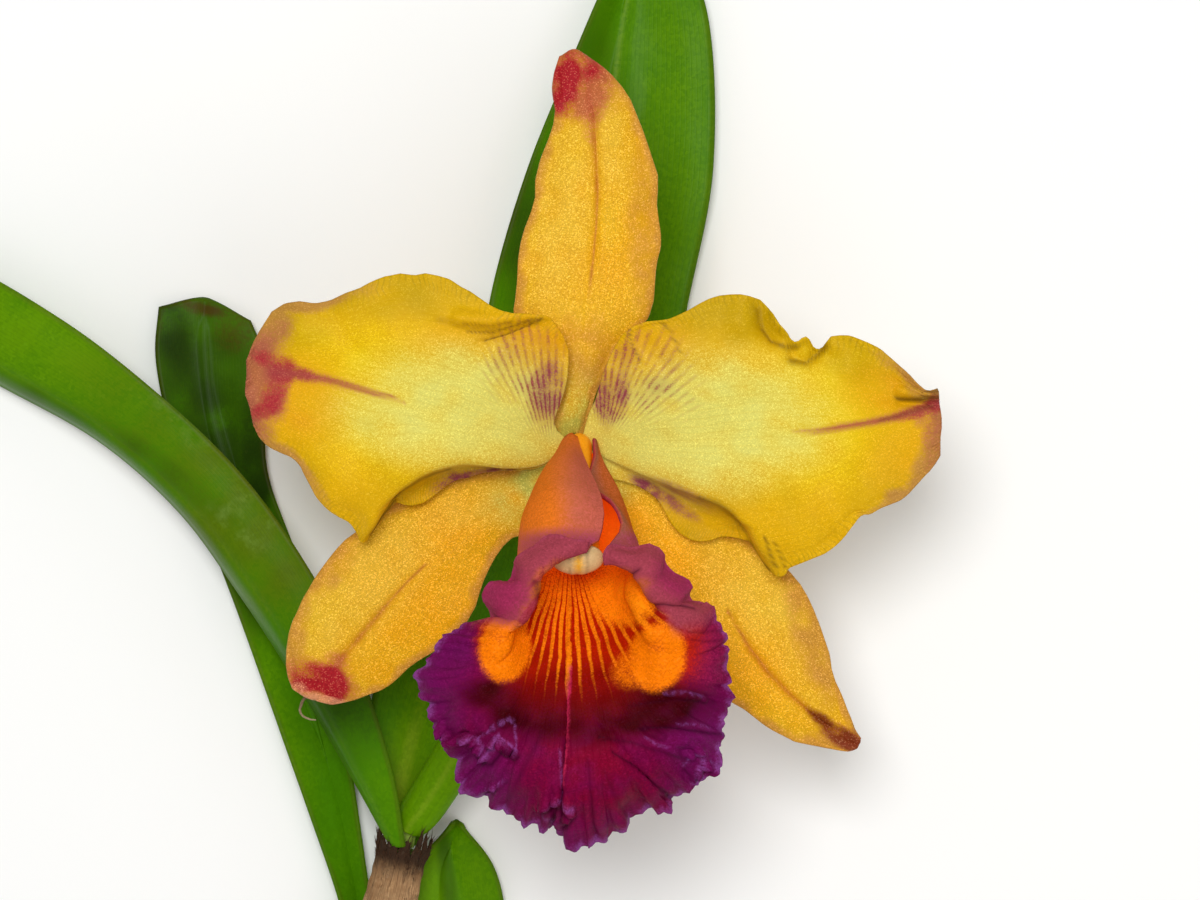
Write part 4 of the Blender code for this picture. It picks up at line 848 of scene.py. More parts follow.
def makeLip(spec, material):
    rows, seed = lipRows(spec), spec["seed"]
    rays = len(rows[-1]) - 1
    around = np.linspace(0, 1, spec["cellsPerRay"] * rays + 1)
    outward = np.concatenate([
        np.linspace(0, spec["outerFrom"], spec["cellsDeep"], endpoint=False),
        np.linspace(spec["outerFrom"], 1, spec["cellsOuter"] + 1)])
    points = loft(rows, around, outward)
    ray, t = rays * around[:, None], outward[None, :]
    fromFloor, fromEnd = np.abs(ray - spec["floorRay"]), np.minimum(ray, rays - ray)
    ends = smooth(fromEnd, 0, 1.2)
    broad = 0.5 + 0.5 * smooth(fromFloor, 6.5, 4.5)
    fitEdge(points, -1, spec["marginPx"], smooth(t, 0.84, 1.0))
    for row, key, reach in (0, "leftFlapPx", ray), (-1, "rightFlapPx", rays - ray):
        at, across, down = table(3, spec[key]).T
        target = np.stack([np.interp(outward, at, across), np.interp(outward, at, down)], axis=-1)
        points[..., :2] += missBy(points[row], target)[None] * smooth(reach, 3.5, 0)[..., None]
    seen = seenPx(points)
    lift, onLobe = np.zeros(points.shape[:2]), t > spec["lobeFrom"]
    crinkle = 0.5 * rippleOver(seen, 9, 5)
    for width, height, mark in drawn(seen, spec["ridges"]):
        lift += height * mark * onLobe * (1 + crinkle * (width < 5))  # only the narrow ridges are crinkled
    for _, share, mark in drawn(seen, spec["folds"]):
        lift -= spec["foldMm"] * share * mark * onLobe
    rimMm = lengthsAlong(points[:, -1])[:, None]
    frilly = 0.08 + 0.92 * smooth(fromFloor, 6.2, 4.8)
    wave = ripple(rimMm, t * 9, 6.2, seed) * broad
    crisp = ripple(rimMm, t * 14, 2.3, seed + 1) * frilly
    lift += smooth(t, 0.80, 1.0) * ends * (spec["waveMm"] * wave + spec["crispMm"] * crisp)
    lift += 0.3 * rippleOver(points, 7, seed + 2) * smooth(t, 0.66, 0.8) * broad
    rounded = np.sin(math.pi * np.clip((t - 0.78) / 0.22, 0, 1)) - 1.3 * smooth(t, 0.92, 1.0)
    lift += 1.1 * rounded * (1 - frilly) * ends
    points = points + lift[..., None] * surfaceNormals(points)
    teeth = ripple(rimMm, 0.0, 1.5, seed + 3) + 0.9 * ripple(rimMm, 0.0, 3.4, seed + 5)
    tooth = spec["toothMm"] * teeth * frilly * ends * smooth(t, 0.92, 1.0)
    points = points + tooth[..., None] * unit(points[:, -1] - points[:, -10])[:, None]
    uneven = rippleOver(seen, 30, seed + 4)
    marks, backMarks = (painted(seen, spec[key], 0.15 * uneven) for key in ("frontBlots", "backBlots"))
    inTube = smooth(t, 0.80, 0.70)
    areas = painted(seen, spec["rollAreas"], 0)
    roll = smooth(fromFloor, 5.4, 6.1) * smooth(t + 0.02 * uneven, 0.80, 0.88) * (1 - areas["kept"])
    roll = np.maximum(roll, 0.85 * inTube * smooth(fromEnd, 0.5, 0.05))
    aside = seen[..., 0] - spec["rayCentre"]
    focus, step = (np.where(aside < 0, *spec[key]) for key in ("rayFocus", "raySteps"))
    angle = np.degrees(np.arctan(aside / np.maximum(seen[..., 1] - focus, 8)))
    marks.update({
        "ray": ray, "raySpread": angle / step, "roll": roll, "plumRoll": roll * areas["plum"],
        "rayThin": -1.12 + 2.05 * smooth(seen[..., 1] + 0.45 * np.abs(aside), *spec["rayNarrows"]),
        # glow: painted light inside the tube, fading out lower down
        "glow": inTube * smooth(seen[..., 1], *spec["glowFades"]) * smooth(fromEnd, 0.1, 0.9),
        "scarlet": np.maximum(marks["scarlet"], inTube), "flame": np.maximum(marks["flame"], 0.8 * inTube),
        "maroon": marks["maroon"] * (1 - inTube),
        "centreLine": stroke(seen, table(3, spec["centreLinePx"])) * smooth(t, 0.6, 0.7),
        "fold": strongest(seen, spec["folds"]) * smooth(t, 0.62, 0.7),
        "glint": strongest(seen, spec["glints"]) * np.clip(0.8 + 0.6 * rippleOver(seen, 7, 3), 0, 1),
        # rim: a pale mauve edge on the frills, partly the margin's own colour and partly painted highlight on
        # its crisp edge
        "rim": smooth(t, 0.975, 1.0) * frilly * np.clip(0.7 + 0.7 * ripple(rimMm, t * 5, 4.0, 77), 0, 1),
    })
    backMarks.update({
        "glow": 0, "outerLobe": smooth(t, 0.70, 0.86), "rightFlap": smooth(rays - ray, 7.0, 4.0),
        "leftEdge": smooth(ray, 2.6, 0.0) * smooth(t, 0.05, 0.3), "rightEdge": smooth(rays - ray, 2.0, 0.0),
    })
    mesh = bladeMesh("frilledLip", points, 0.32 + 0.4 * smooth(t, 1.0, 0.8), marks, backMarks)
    addPiece(mesh, material, ["lip"])


makeLip(lip, lipMaterial(lip))
print("lip made")


# Column and anther cap, inside the lip's tube

columnSpec = {
    "hub": (-3.8, 0.5), "foot": (45.3, 48.0, 50.8), "footRadius": 2.3,
    "radii": ((0, 2.3), (4, 2.4), (9, 2.6), (15, 2.9), (21, 3.2), (27, 3.5), (33.5, 3.6)),  # distance, radius
    "cells": (64, 48), "capHalf": (4.5, 3.4, 2.2), "capGap": 0.3, "capRise": 1.1, "grooveMm": 0.45,
    "orange": "#FFA410", "yellow": "#FFB818", "rose": "#D8647A", "cream": "#D6B47E", "core": "#F6B418",
    "seam": "#7A5A34",
}


def closedRings(name, rings, marks):  # rings of points, closed over at both ends
    count, around = rings.shape[:2]
    verts = np.concatenate([rings.reshape(-1, 3), [rings[0].mean(axis=0), rings[-1].mean(axis=0)]])
    index = np.arange(count * around).reshape(count, around)
    turned = np.roll(index, -1, axis=1)
    faces = np.stack([index[:-1], turned[:-1], turned[1:], index[1:]], axis=-1).reshape(-1, 4).tolist()
    for end, order in (0, 1), (-1, -1):
        middle = len(verts) - 2 - end
        faces += [(a, middle, b)[::order] for a, b in zip(index[end].tolist(), turned[end].tolist())]
    mesh = bpy.data.meshes.new(name)
    mesh.from_pydata(toWorld(verts).tolist(), [], faces)
    shaped = bmesh.new()
    shaped.from_mesh(mesh)
    bmesh.ops.recalc_face_normals(shaped, faces=shaped.faces)
    shaped.to_mesh(mesh)
    shaped.free()
    mesh.shade_smooth()
    for label, values in marks.items():
        values = np.broadcast_to(values, (count, around))
        addMarks(mesh, {label: np.concatenate([values.ravel(), [values[0].mean(), values[-1].mean()]])})
    return mesh


def waxMaterial(name, palette, base, layers, roughness):
    # Firm wax: to the eye smooth, and the shiniest part of the flower
    material, add, place = newMaterial(name, Roughness=roughness, Specular_IOR_Level=0.25)
    grain, dome = cellGrain(add, place, 0.3)
    colour = glaze(add, palette, base, layers, grain, 1.4)
    colour = speckle(add, colour, grain, 0.93, 1.06, 0.9, "#FFF6D8", 0.2)
    return finishSkin(material, colour, (dome, 0.25, 0.06, True))


def makeColumn(spec):
    start, forward, sideways, roof = throatFrame(lip)
    distances, radii = np.array(spec["radii"]).T
    path = [(*spec["hub"], z) for z in spec["foot"]] + list(start + distances[:, None] * forward)
    along, around = spec["cells"]
    centre = smoothPath(path, along)
    girth = smoothPath([spec["footRadius"]] * 3 + list(radii), along)[:, None]
    top = unit(np.cross(unit(np.gradient(centre, axis=0)), sideways))[:, None]
    turn = np.linspace(0, 2 * math.pi, around, endpoint=False)[None, :]
    sine, cosine = np.sin(turn), np.cos(turn)
    s = np.linspace(0, 1, along)[:, None]
    wing = 0.10 * bell(np.abs(sine) - 1, 0.12) * smooth(s, 0.35, 0.9)
    hollow = -0.28 * np.maximum(-cosine, 0) ** 3 * smooth(s, 0.55, 0.85)
    reach = girth * (1 + wing + hollow + 0.05 * np.maximum(cosine, 0) ** 6)
    rings = centre[:, None] + reach[..., None] * (sine[..., None] * sideways + cosine[..., None] * top)
    marks = {"foot": smooth(s, 0.4, 0.0), "under": np.maximum(-cosine, 0) ** 2 * smooth(s, 0.3, 0.8)}
    wax = waxMaterial("column, waxy orange tissue", spec, "orange", [
        ("yellow", "foot", 0.9), ("rose", "under", 0.6)], 0.38)
    addPiece(closedRings("waxyColumn", rings, marks), wax, ["column"])
    wide, tall, deep = spec["capHalf"]
    seat = start + forward * (distances[-1] + spec["capGap"]) + roof * spec["capRise"]
    tilt = np.linspace(math.pi / 2, 0, 15)[:-1, None]
    across, ahead = np.sin(tilt), np.cos(tilt)
    groove = spec["grooveMm"] * bell(sine * across * wide, 0.55)
    beak = 0.08 * np.maximum(-cosine, 0) ** 8 * across**4
    swell = 1 - 0.05 * np.cos(2 * turn) * across
    rim = np.array([0.72, 0.9])[:, None]
    low = np.stack([wide * rim * sine, tall * rim * cosine, 0 * rim * sine])
    dome = np.stack([
        wide * across * swell * sine, tall * across * (swell + beak) * cosine,
        deep * ahead - groove * (ahead > 0.05) * smooth(ahead, 0, 0.5)])
    x, y, z = np.concatenate([low, dome], axis=1)
    rings = seat + x[..., None] * sideways + y[..., None] * roof + z[..., None] * forward
    core = bell(x - 0.3, 0.8) * bell(y + 0.2, 2.6)
    seam = bell(np.abs(x - 0.3) - 1.5, 0.22) * smooth(z, 0.2, 1.0)
    wax = waxMaterial("anther cap, smooth cream wax", spec, "cream", [("core", 0.85), ("seam", 0.5)], 0.32)
    cap = closedRings("antherCap", rings, {"core": core, "seam": seam})
    addPiece(cap, wax, ["anther_cap"])


makeColumn(columnSpec)
print("column made")


# Geometry Nodes: a stem through a path's points, with ribs along it and fine wrinkles

def newNodeTree(name, sockets):
    tree = bpy.data.node_groups.new(name, "GeometryNodeTree")
    tree.interface.new_socket("Geometry", in_out="OUTPUT", socket_type="NodeSocketGeometry")
    for label, kind in {"Geometry": "Geometry", **sockets, "Material": "Material"}.items():
        tree.interface.new_socket(label, in_out="INPUT", socket_type="NodeSocket" + kind)
    add = nodeAdder(tree)
    return tree, add, add("NodeGroupInput").node.outputs


def finishTree(add, geometry, given):
    smoothed = add("SetShadeSmooth", add("RealizeInstances", geometry))
    add("NodeGroupOutput", add("SetMaterial", Geometry=smoothed, Material=given["Material"]))


def grownMesh(name, guide, tree, **values):  # runs the nodes on a guide mesh and returns the plain mesh
    holder = addToScene(name + "Guide", guide)
    modifier = holder.modifiers.new("grow", "NODES")
    modifier.node_group = tree
    for socket in tree.interface.items_tree:
        key = socket.name.replace(" ", "_")
        if socket.in_out == "INPUT" and key in values:
            modifier[socket.identifier] = values[key]
    bpy.context.view_layer.update()
    graph = bpy.context.evaluated_depsgraph_get()
    mesh = bpy.data.meshes.new_from_object(holder.evaluated_get(graph))
    mesh.name = name
    bpy.data.objects.remove(holder, do_unlink=True)
    return mesh


def guidePath(path, girth):  # a line through the points, with the stem's radius at each
    mesh = bpy.data.meshes.new("guide")
    mesh.from_pydata(toWorld(path).tolist(), [(k, k + 1) for k in range(len(path) - 1)], [])
    addMarks(mesh, {"girth": np.asarray(girth, float) * 0.001})
    return mesh


def stemTree():
    tree, add, given = newNodeTree("ribbed stem", {
        "Steps": "Int", "Sides": "Int", "Ribs": "Int", "Rib depth": "Float", "Twist": "Float",
        "Wrinkle size": "Float", "Wrinkle height": "Float"})
    curve = add("MeshToCurve", given["Geometry"])
    curve = add("ResampleCurve", Curve=curve, Count=given["Steps"])
    girth = add("InputNamedAttribute", Name="girth", data_type="FLOAT")
    curve = add("SetCurveRadius", Curve=curve, Radius=girth)
    along = add("SplineParameter")
    curve = add("SetCurveTilt", Curve=curve, Tilt=add("Math:MULTIPLY", along, given["Twist"]))
    curve = add("StoreNamedAttribute", Geometry=curve, Name="along", Value=along, data_type="FLOAT")
    ring = add("CurvePrimitiveCircle", Resolution=given["Sides"], Radius=1.0)
    place = add("InputPosition")
    x, y, z = add("SeparateXYZ", place).node.outputs
    turn = add("Math:ARCTAN2", y, x)
    wave = add("Math:COSINE", add("Math:MULTIPLY", turn, given["Ribs"]))
    swell = add("Math:MULTIPLY_ADD", wave, given["Rib depth"], 1.0)
    profile = add("StoreNamedAttribute", Geometry=ring, Name="turn", Value=turn, data_type="FLOAT")
    profile = add("SetPosition", Geometry=profile, Position=add("VectorMath:SCALE", place, swell))
    skin = add("CurveToMesh", Curve=curve, Profile_Curve=profile, Scale=girth, Fill_Caps=True)
    noise = add("TexNoise", Scale=given["Wrinkle size"], Detail=3.0)
    height = add("Math:MULTIPLY", add("Math:SUBTRACT", noise, 0.5), given["Wrinkle height"])
    skin = add("SetPosition", Geometry=skin, Offset=add("VectorMath:SCALE", add("InputNormal"), height))
    rested = add("CombineXYZ", x, y, add("Math:MAXIMUM", z, 0.0))  # nothing reaches below the floor
    finishTree(add, add("SetPosition", Geometry=skin, Position=rested), given)
    return tree


def fibreTree():  # short tapered fibres that stand on points, each aimed by the point's own attribute
    tree, add, given = newNodeTree("torn fibres", {
        "Root radius": "Float", "Shortest": "Float", "Longest": "Float", "Splay": "Float", "Curl": "Float",
        "Seed": "Int"})
    cone = add("MeshCone", Vertices=5, Side_Segments=5, Radius_Top=0.0, Radius_Bottom=given["Root radius"],
               Depth=1.0)
    height = add("SeparateXYZ", add("InputPosition"), out="Z")
    cone = add("StoreNamedAttribute", Geometry=cone, Name="reach", Value=height, data_type="FLOAT")
    aim = add("InputNamedAttribute", Name="aim", data_type="FLOAT_VECTOR")
    low, high = (add("VectorMath:MULTIPLY", (side, side, side), given["Splay"]) for side in (-1.0, 1.0))
    lean = add("RandomValue", low, high, Seed=given["Seed"], data_type="FLOAT_VECTOR")
    turned = add("AlignRotationToVector", Vector=add("VectorMath:ADD", aim, lean), axis="Z")
    size = add("RandomValue", given["Shortest"], given["Longest"], Seed=given["Seed"], data_type="FLOAT")
    scale = add("CombineXYZ", 1.0, 1.0, size)
    fibres = add("InstanceOnPoints", given["Geometry"], Instance=cone, Rotation=turned, Scale=scale)
    fibres = add("RealizeInstances", fibres)
    noise = add("TexNoise", Scale=260.0, Detail=1.0, out="Color")
    drift = add("VectorMath:SUBTRACT", noise, (0.5, 0.5, 0.5))
    reach = add("InputNamedAttribute", Name="reach", data_type="FLOAT")
    offset = add("VectorMath:SCALE", drift, add("Math:MULTIPLY", reach, given["Curl"]))
    finishTree(add, add("SetPosition", Geometry=fibres, Offset=offset), given)
    return tree


ribbedStem = stemTree()
tornFibres = fibreTree()


# Flower stalk and ovary, and the dried thread at the left sepal's tip

stalk = {
    "path": """-37.6 -75.7 10.6 -36.7 -72.2 11.2 -33.4 -67.6 13.2 -28 -58.8 17 -22.6 -47.1 22 -17.8 -35.6
        27 -13 -24.2 32 -8.7 -12.9 36.6 -5.3 -3.8 40.6 -3.9 .2 42.8 -3.8 .5 44.75""",
    "radius": 1.9, "ovaryRadius": 2.5, "ribs": 6, "ribDepth": 0.06, "twist": 1.3,
    "green": "#86A03C", "pale": "#B4BE62", "groove": "#6E8A34",
    "threadPx": "307 694 40.6 304 699 40.4 301 705 40 300 711 39.6 303 716 39.4 309 719 39.5 316 720 39.8",
    "threadRadius": 0.28, "thread": "#6A5238", "threadEnd": "#B8A480", "threadRib": "#3E2C1A",
}


def stemMaterial(name, palette, base, tint, tintFrom, tintTo, roughness, ribs, rib):
    # Fine grooves in smooth skin: to the eye parallel darker lines, and a tint that comes in along the stem
    material, add, place = newMaterial(name, Roughness=roughness, Specular_IOR_Level=0.2)
    grain, dome = cellGrain(add, place, 0.4)
    lines = add("Math:COSINE", add("Math:MULTIPLY", "turn", float(ribs)))
    lines = add("MapRange", lines, 0.2, 1.0, 0.0, 0.6)
    ends = add("MapRange", "along", tintFrom, tintTo)
    broad = add("TexNoise", place, Scale=0.3, Detail=5.0)
    colour = glaze(add, palette, base, [(tint, ends, 0.9), (rib, lines, 0.5), (rib, broad, 0.25)], grain, 1.2)
    colour = speckle(add, colour, grain, 0.93, 1.06, 0.95, "#E8F0C0", 0.1)
    return finishSkin(material, colour, (dome, 0.3, 0.1, True), (lines, 0.3, 0.3, True))


def makeStalk(spec):
    skin = stemMaterial(
        "flower stalk, smooth pale green skin", spec, "green", "pale", 0.5, 0.95, 0.42, 12, "groove")
    swell = smooth(np.linspace(0, 1, 80), 0.45, 0.85)
    girth = spec["radius"] + (spec["ovaryRadius"] - spec["radius"]) * swell
    guide = guidePath(smoothPath(table(3, spec["path"]), 80), girth)
    mesh = grownMesh(
        "smoothStalk", guide, ribbedStem, Steps=110, Sides=36, Ribs=spec["ribs"], Rib_depth=spec["ribDepth"],
        Twist=spec["twist"], Wrinkle_size=300.0, Wrinkle_height=0.0002, Material=skin)
    addPiece(mesh, skin, ["flower_stalk"])
    dry = stemMaterial("dried bract thread", spec, "thread", "threadEnd", 0.0, 1.0, 0.7, 3, "threadRib")
    line = smoothPath([fromPx(*spot) for spot in table(3, spec["threadPx"])], 40)
    guide = guidePath(line, spec["threadRadius"] * (1 - 0.6 * np.linspace(0, 1, 40) ** 2))
    mesh = grownMesh(
        "dryThread", guide, ribbedStem, Steps=60, Sides=10, Ribs=3, Rib_depth=0.12, Twist=9.0,
        Wrinkle_size=900.0, Wrinkle_height=0.0002, Material=dry)
    addPiece(mesh, dry, [])


makeStalk(stalk)


# Pseudobulb with its papery bract

bulb = {
    "apex": (-37.8, -76.4, 10.0), "cut": (-64.0, -193.0, 6.2),
    "radii": ((0, 3.4), (10, 3.9), (20, 5.2), (40, 8.0), (60, 9.2), (80, 8.8), (100, 7.6), (119.5, 6.1)),
    "nodes": (28.0, 62.0, 94.0), "ringMm": 0.35, "ribs": 12, "ribDepth": 0.022,
    "green": "#5F7A2A", "olive": "#8A8A3E", "groove": "#3F5A1E",
    "bractFrom": -1.5, "bractTo": 34.0, "bractWrap": 88.0, "bractSeed": 71, "bractCells": (70, 90),
    "tan": "#A07850", "straw": "#C8A478", "brown": "#5A3A22", "dark": "#2A180C",
    "fibreCount": 520, "fibreRadius": 0.0001, "fibreShort": 0.0006, "fibreLong": 0.0022,
}


def bulbFrame(spec):  # apex, direction to the cut end, side and upper side
    apex = np.array(spec["apex"])
    run = unit(np.array(spec["cut"]) - apex)
    side = unit(np.cross((0, 0, 1.0), run))
    return apex, run, side, np.cross(run, side)


def bulbRadius(spec, distance):
    places, radii = zip(*spec["radii"])
    rings = sum(spec["ringMm"] * bell(distance - node, 1.6) for node in spec["nodes"])
    return np.interp(distance, places, radii) + rings


def makeBulb(spec):
    apex, run, _, _ = bulbFrame(spec)
    reach = np.linspace(0, math.dist(spec["apex"], spec["cut"]), 160)
    skin = stemMaterial(
        "pseudobulb, ribbed waxy green skin", spec, "green", "olive", 0.55, 1.0, 0.45, 24, "groove")
    mesh = grownMesh(
        "ribbedBulb", guidePath(apex + reach[:, None] * run, bulbRadius(spec, reach)), ribbedStem, Steps=200,
        Sides=96, Ribs=spec["ribs"], Rib_depth=spec["ribDepth"], Twist=0.25, Wrinkle_size=220.0,
        Wrinkle_height=0.0007, Material=skin)
    addPiece(mesh, skin, ["pseudobulb"])


def paperMaterial(spec):
    # Long fibres in dry paper: to the eye dull tan streaked lengthwise, dark brown near the apex
    material, add, place = newMaterial("bract, dry fibrous paper", Roughness=0.85, Specular_IOR_Level=0.2)
    sized = add("Mapping", add("CombineXYZ", "fan", "fromApex"), Scale=(60, 0.12, 1))
    strands, strand = clouds(add, sized, 1.0, 4.0, 0.4, 0.65)
    _, cloud = clouds(add, place, 0.18, 6.0, 0.4, 0.7)
    grain, _ = cellGrain(add, place, 0.5)
    layers = [("straw", cloud, 0.6), ("brown", strand, 0.55), ("dark", 0.95)]
    colour = glaze(add, spec, "tan", layers, grain, 1.5)
    colour = speckle(add, colour, grain, 0.85, 1.1, 0.95, "#F0DCC0", 0.15)
    return finishSkin(material, colour, (strands, 0.7, 0.4, False))


def makeBract(spec):
    apex, run, side, up = bulbFrame(spec)
    along, across = spec["bractCells"]
    u = np.linspace(0, 1, along + 1)[:, None]
    turn = np.radians(np.linspace(-spec["bractWrap"], spec["bractWrap"], across + 1))[None, :]
    draw = np.random.default_rng(spec["bractSeed"])
    torn = 1.6 * ripple(turn * 10, 0.0, 2.6, spec["bractSeed"]) + draw.uniform(-0.7, 0.7, turn.shape)
    frayed = 1.2 * ripple(turn * 9, 3.0, 3.5, spec["bractSeed"] + 1)
    start, end = spec["bractFrom"] + torn, spec["bractTo"] - np.abs(frayed)
    distance = start + (end - start) * u
    radius = bulbRadius(spec, np.maximum(distance, 0)) * 1.012 + 0.85
    radius += 0.1 * np.sin(5 * turn + distance / 3) + 0.22 * ripple(turn * 8, distance, 5, 5)
    radius += 0.8 * smooth(distance, 4, -2)
    spread = np.sin(turn)[..., None] * side + np.cos(turn)[..., None] * up
    points = apex + distance[..., None] * run + radius[..., None] * spread
    points[..., 2] = np.maximum(points[..., 2], 0.5)
    marks = {"fan": turn / math.pi + 0.5, "fromApex": distance, "dark": smooth(distance, 6.5, 1.0)}
    mesh = bladeMesh("tornBract", points, 0.5, marks)
    addPiece(mesh, paperMaterial(spec), ["pseudobulb_bract"])
    count = spec["fibreCount"]
    spots = draw.integers(0, across + 1, count)
    rows = draw.choice([0, 0, 0, 0, along], count)  # four in five stand near the torn rim
    rows = np.where(rows == 0, draw.integers(0, 9, count), rows)
    roots = points[rows, spots] + draw.normal(0, 0.12, (count, 3))
    aims = np.where((rows > along / 2)[:, None], run, -run) + 0.35 * spread[0, spots]
    guide = bpy.data.meshes.new("guide")
    guide.from_pydata(toWorld(roots).tolist(), [], [])
    addMarks(guide, {"aim": aims}, "FLOAT_VECTOR", "vector")
    dry = stemMaterial("bract fibres, dry and dark", spec, "dark", "brown", 0.0, 1.0, 0.8, 2, "brown")
    mesh = grownMesh(
        "bractFibres", guide, tornFibres, Root_radius=spec["fibreRadius"], Shortest=spec["fibreShort"],
        Longest=spec["fibreLong"], Splay=0.4, Curl=0.002, Seed=spec["bractSeed"], Material=dry)
    addPiece(mesh, dry, [])


makeBulb(bulb)
makeBract(bulb)
print("stem and bulb made")


# Leaves and the floral sheath: thick leathery blades folded along the midrib

# base paints a highlight along the midrib folds and near the top leaf's base, pale a painted sheen; shade,
# and deep in most places, paint shade
leafSkin = {
    "green": "#437A02", "bright": "#5F8C02", "olive": "#546A06", "deep": "#2F4E06", "shade": "#20340A",
    "pale": "#6E8A3A", "brown": "#4A3410", "base": "#7C9A1C", "vein": "#356404",
}


def leafMaterial(skin):
    # Thick cuticle: to the eye broad soft highlights over fine parallel veins, with painted sheen and shade
    # in places
    material, add, place = newMaterial(
        "leaf, thick waxy cuticle", Roughness=0.38, Specular_IOR_Level=0.04, Coat_Weight=0.01,
        Coat_Roughness=0.25)
    grain, dome = cellGrain(add, place, 0.6)
    veins = veinLines(add, 42, 0.01, place, 0.5)
    fine = veinLines(add, 110, 0.006, place, 0.0)
    broad, cloudy = clouds(add, place, 0.06, 5.0, 0.4, 0.7)
    _, dusty = clouds(add, place, 0.22, 8.0, 0.5, 0.8)
    colour = glaze(add, skin, "green", [
        ("bright", cloudy, 0.35), ("bright", 0.9), ("olive", 0.9), ("deep", 0.9), ("vein", veins, 0.12),
        # base on fold is a painted highlight along the midrib
        ("bright", fine, 0.06), ("base", 0.85), ("shade", 0.85), ("base", "fold", 0.5),
        # pale on powder is a painted sheen, broken up by noise
        ("pale", add("Math:MULTIPLY", dusty, "powder"), 0.6), ("brown", 0.85), ("brown", "rim", 0.3),
    ], grain, 1.2)
    colour = speckle(add, colour, grain, 0.94, 1.06, 0.97, "#C8E080", 0.03)
    return finishSkin(
        material, colour, (dome, 0.2, 0.05, True), (veins, 0.12, 0.2, True), (broad, 0.3, 0.8, False))


def makeLeaf(name, spec, material, node):
    points = loft(spec["rails"], *spec["cells"])
    along, across, rim = bladePlaces(points)
    points[..., 2] -= 0.6 * bell(across, 1.1) * smooth(along, 0, 12)
    points[..., 2] += 0.45 * rippleOver(points, 46, spec["seed"] + 1)
    points[..., 2] += 0.12 * rippleOver(points, 14, spec["seed"] + 2)
    thickness = 0.9 + 0.8 * smooth(rim, 0.0, 6.0) + 0.6 * bell(across, 1.6)
    points[..., 2] = np.maximum(points[..., 2], thickness / 2)
    seen = seenPx(points)
    along, across, rim = bladePlaces(points)
    uneven = rippleOver(seen, 60, spec["seed"])
    marks = painted(seen, spec["blots"], 0.25 * uneven)
    # a painted highlight along the midrib fold, as strong as foldShare
    marks["fold"] = bell(across, 0.55) * spec["foldShare"]
    marks["rim"] = smooth(rim + 0.15 * uneven, 0.7, 0.1)
    addPiece(bladeMesh(name, points, thickness, marks), material, [node])


topLeaf = {
    "cells": (150, 34), "seed": 81, "foldShare": 0.6,
    "rails": (
        """-38.8 -75.5 6.4 -43.6 -62.3 9 -42.3 -42.2 9.5 -31.3 -17.3 9 -23 9.6 9 -20.7 29.7 9 -13.4 54.7 9
        -2.9 80.3 8 6.6 102.3 4.5""",
        """-37 -75.6 6.1 -34.3 -63.6 6 -24.2 -43.5 3 -14.5 -18.4 1.5 -7.4 6.8 .9 -2.9 29.5 .9 1.2 55.3 .9
        4.3 82.4 .9 9.3 104.6 1.8""",
        """-35 -75.9 6.3 -29.6 -64.4 7 -13.9 -46.3 5.5 1 -21.2 5 11.2 3.9 5 16.8 28.9 4.5 21.6 55 4.5 20.5
        84 4 12.4 102.9 3""",
    ),
    # bright paints a highlight on the upper right face and near the base; deep paints shade on the left half,
    # which turns from the light
    "blots": {
        "bright": "665 160 44 170 6 1.2 .4 402 770 20 70 14 1.1 1 440 720 24 60 -24 1.2 .5",
        "olive": "430 800 30 40 30 1.2 .6",
        "deep": "530 240 36 120 -18 1.2 .8 585 60 30 90 -22 1.2 .4",
        # base: painted highlight, a pale band near the leaf's base
        "base": "404 765 6 60 14 1.3 .8",
    },
}

leftLeaf = {
    "cells": (150, 34), "seed": 83, "foldShare": 0.15,
    "rails": (
        """-37.3 -75.3 14.4 -39.8 -59.6 19 -46.7 -38.6 22 -56.2 -20.7 22 -67.9 -4.7 21 -83.2 10 20 -102.3
        24.6 18 -125.9 37.2 13 -148.7 40.8 6""",
        """-38.5 -75.3 13.8 -45.5 -60.7 17 -55.8 -40.7 19 -65.9 -24.6 19 -77.7 -9.5 18 -93.5 4.2 16 -113.6
        16 12.5 -136.4 27.3 8 -152.3 36.3 3.5""",
        """-39.9 -75.2 13.4 -47.3 -62 13 -59 -42.5 10.5 -69 -27.2 9.5 -80.5 -11.7 9.5 -96.2 1.9 7 -116.4 13
        3 -138.6 24.8 .3 -152.4 33 .6""",
    ),
    "blots": {
        "bright": "40 330 110 50 30 1.2 .8",
        "olive": "260 520 110 60 46 1.3 .9 150 420 90 40 35 1.3 .4",
        # deep: painted shade in thin bands along the lower edge, where the blade turns down from the light
        "deep": "40 395 60 10 28 1.2 .5 170 470 70 10 38 1.2 .5",
        # powder: pale painted sheen on the upper face
        "powder": "245 520 34 26 40 1.2 1 190 430 60 10 40 1.3 .8 130 385 10 10 0 1 .7",
        "shade": "335 700 60 46 45 1.2 .55",
    },
}

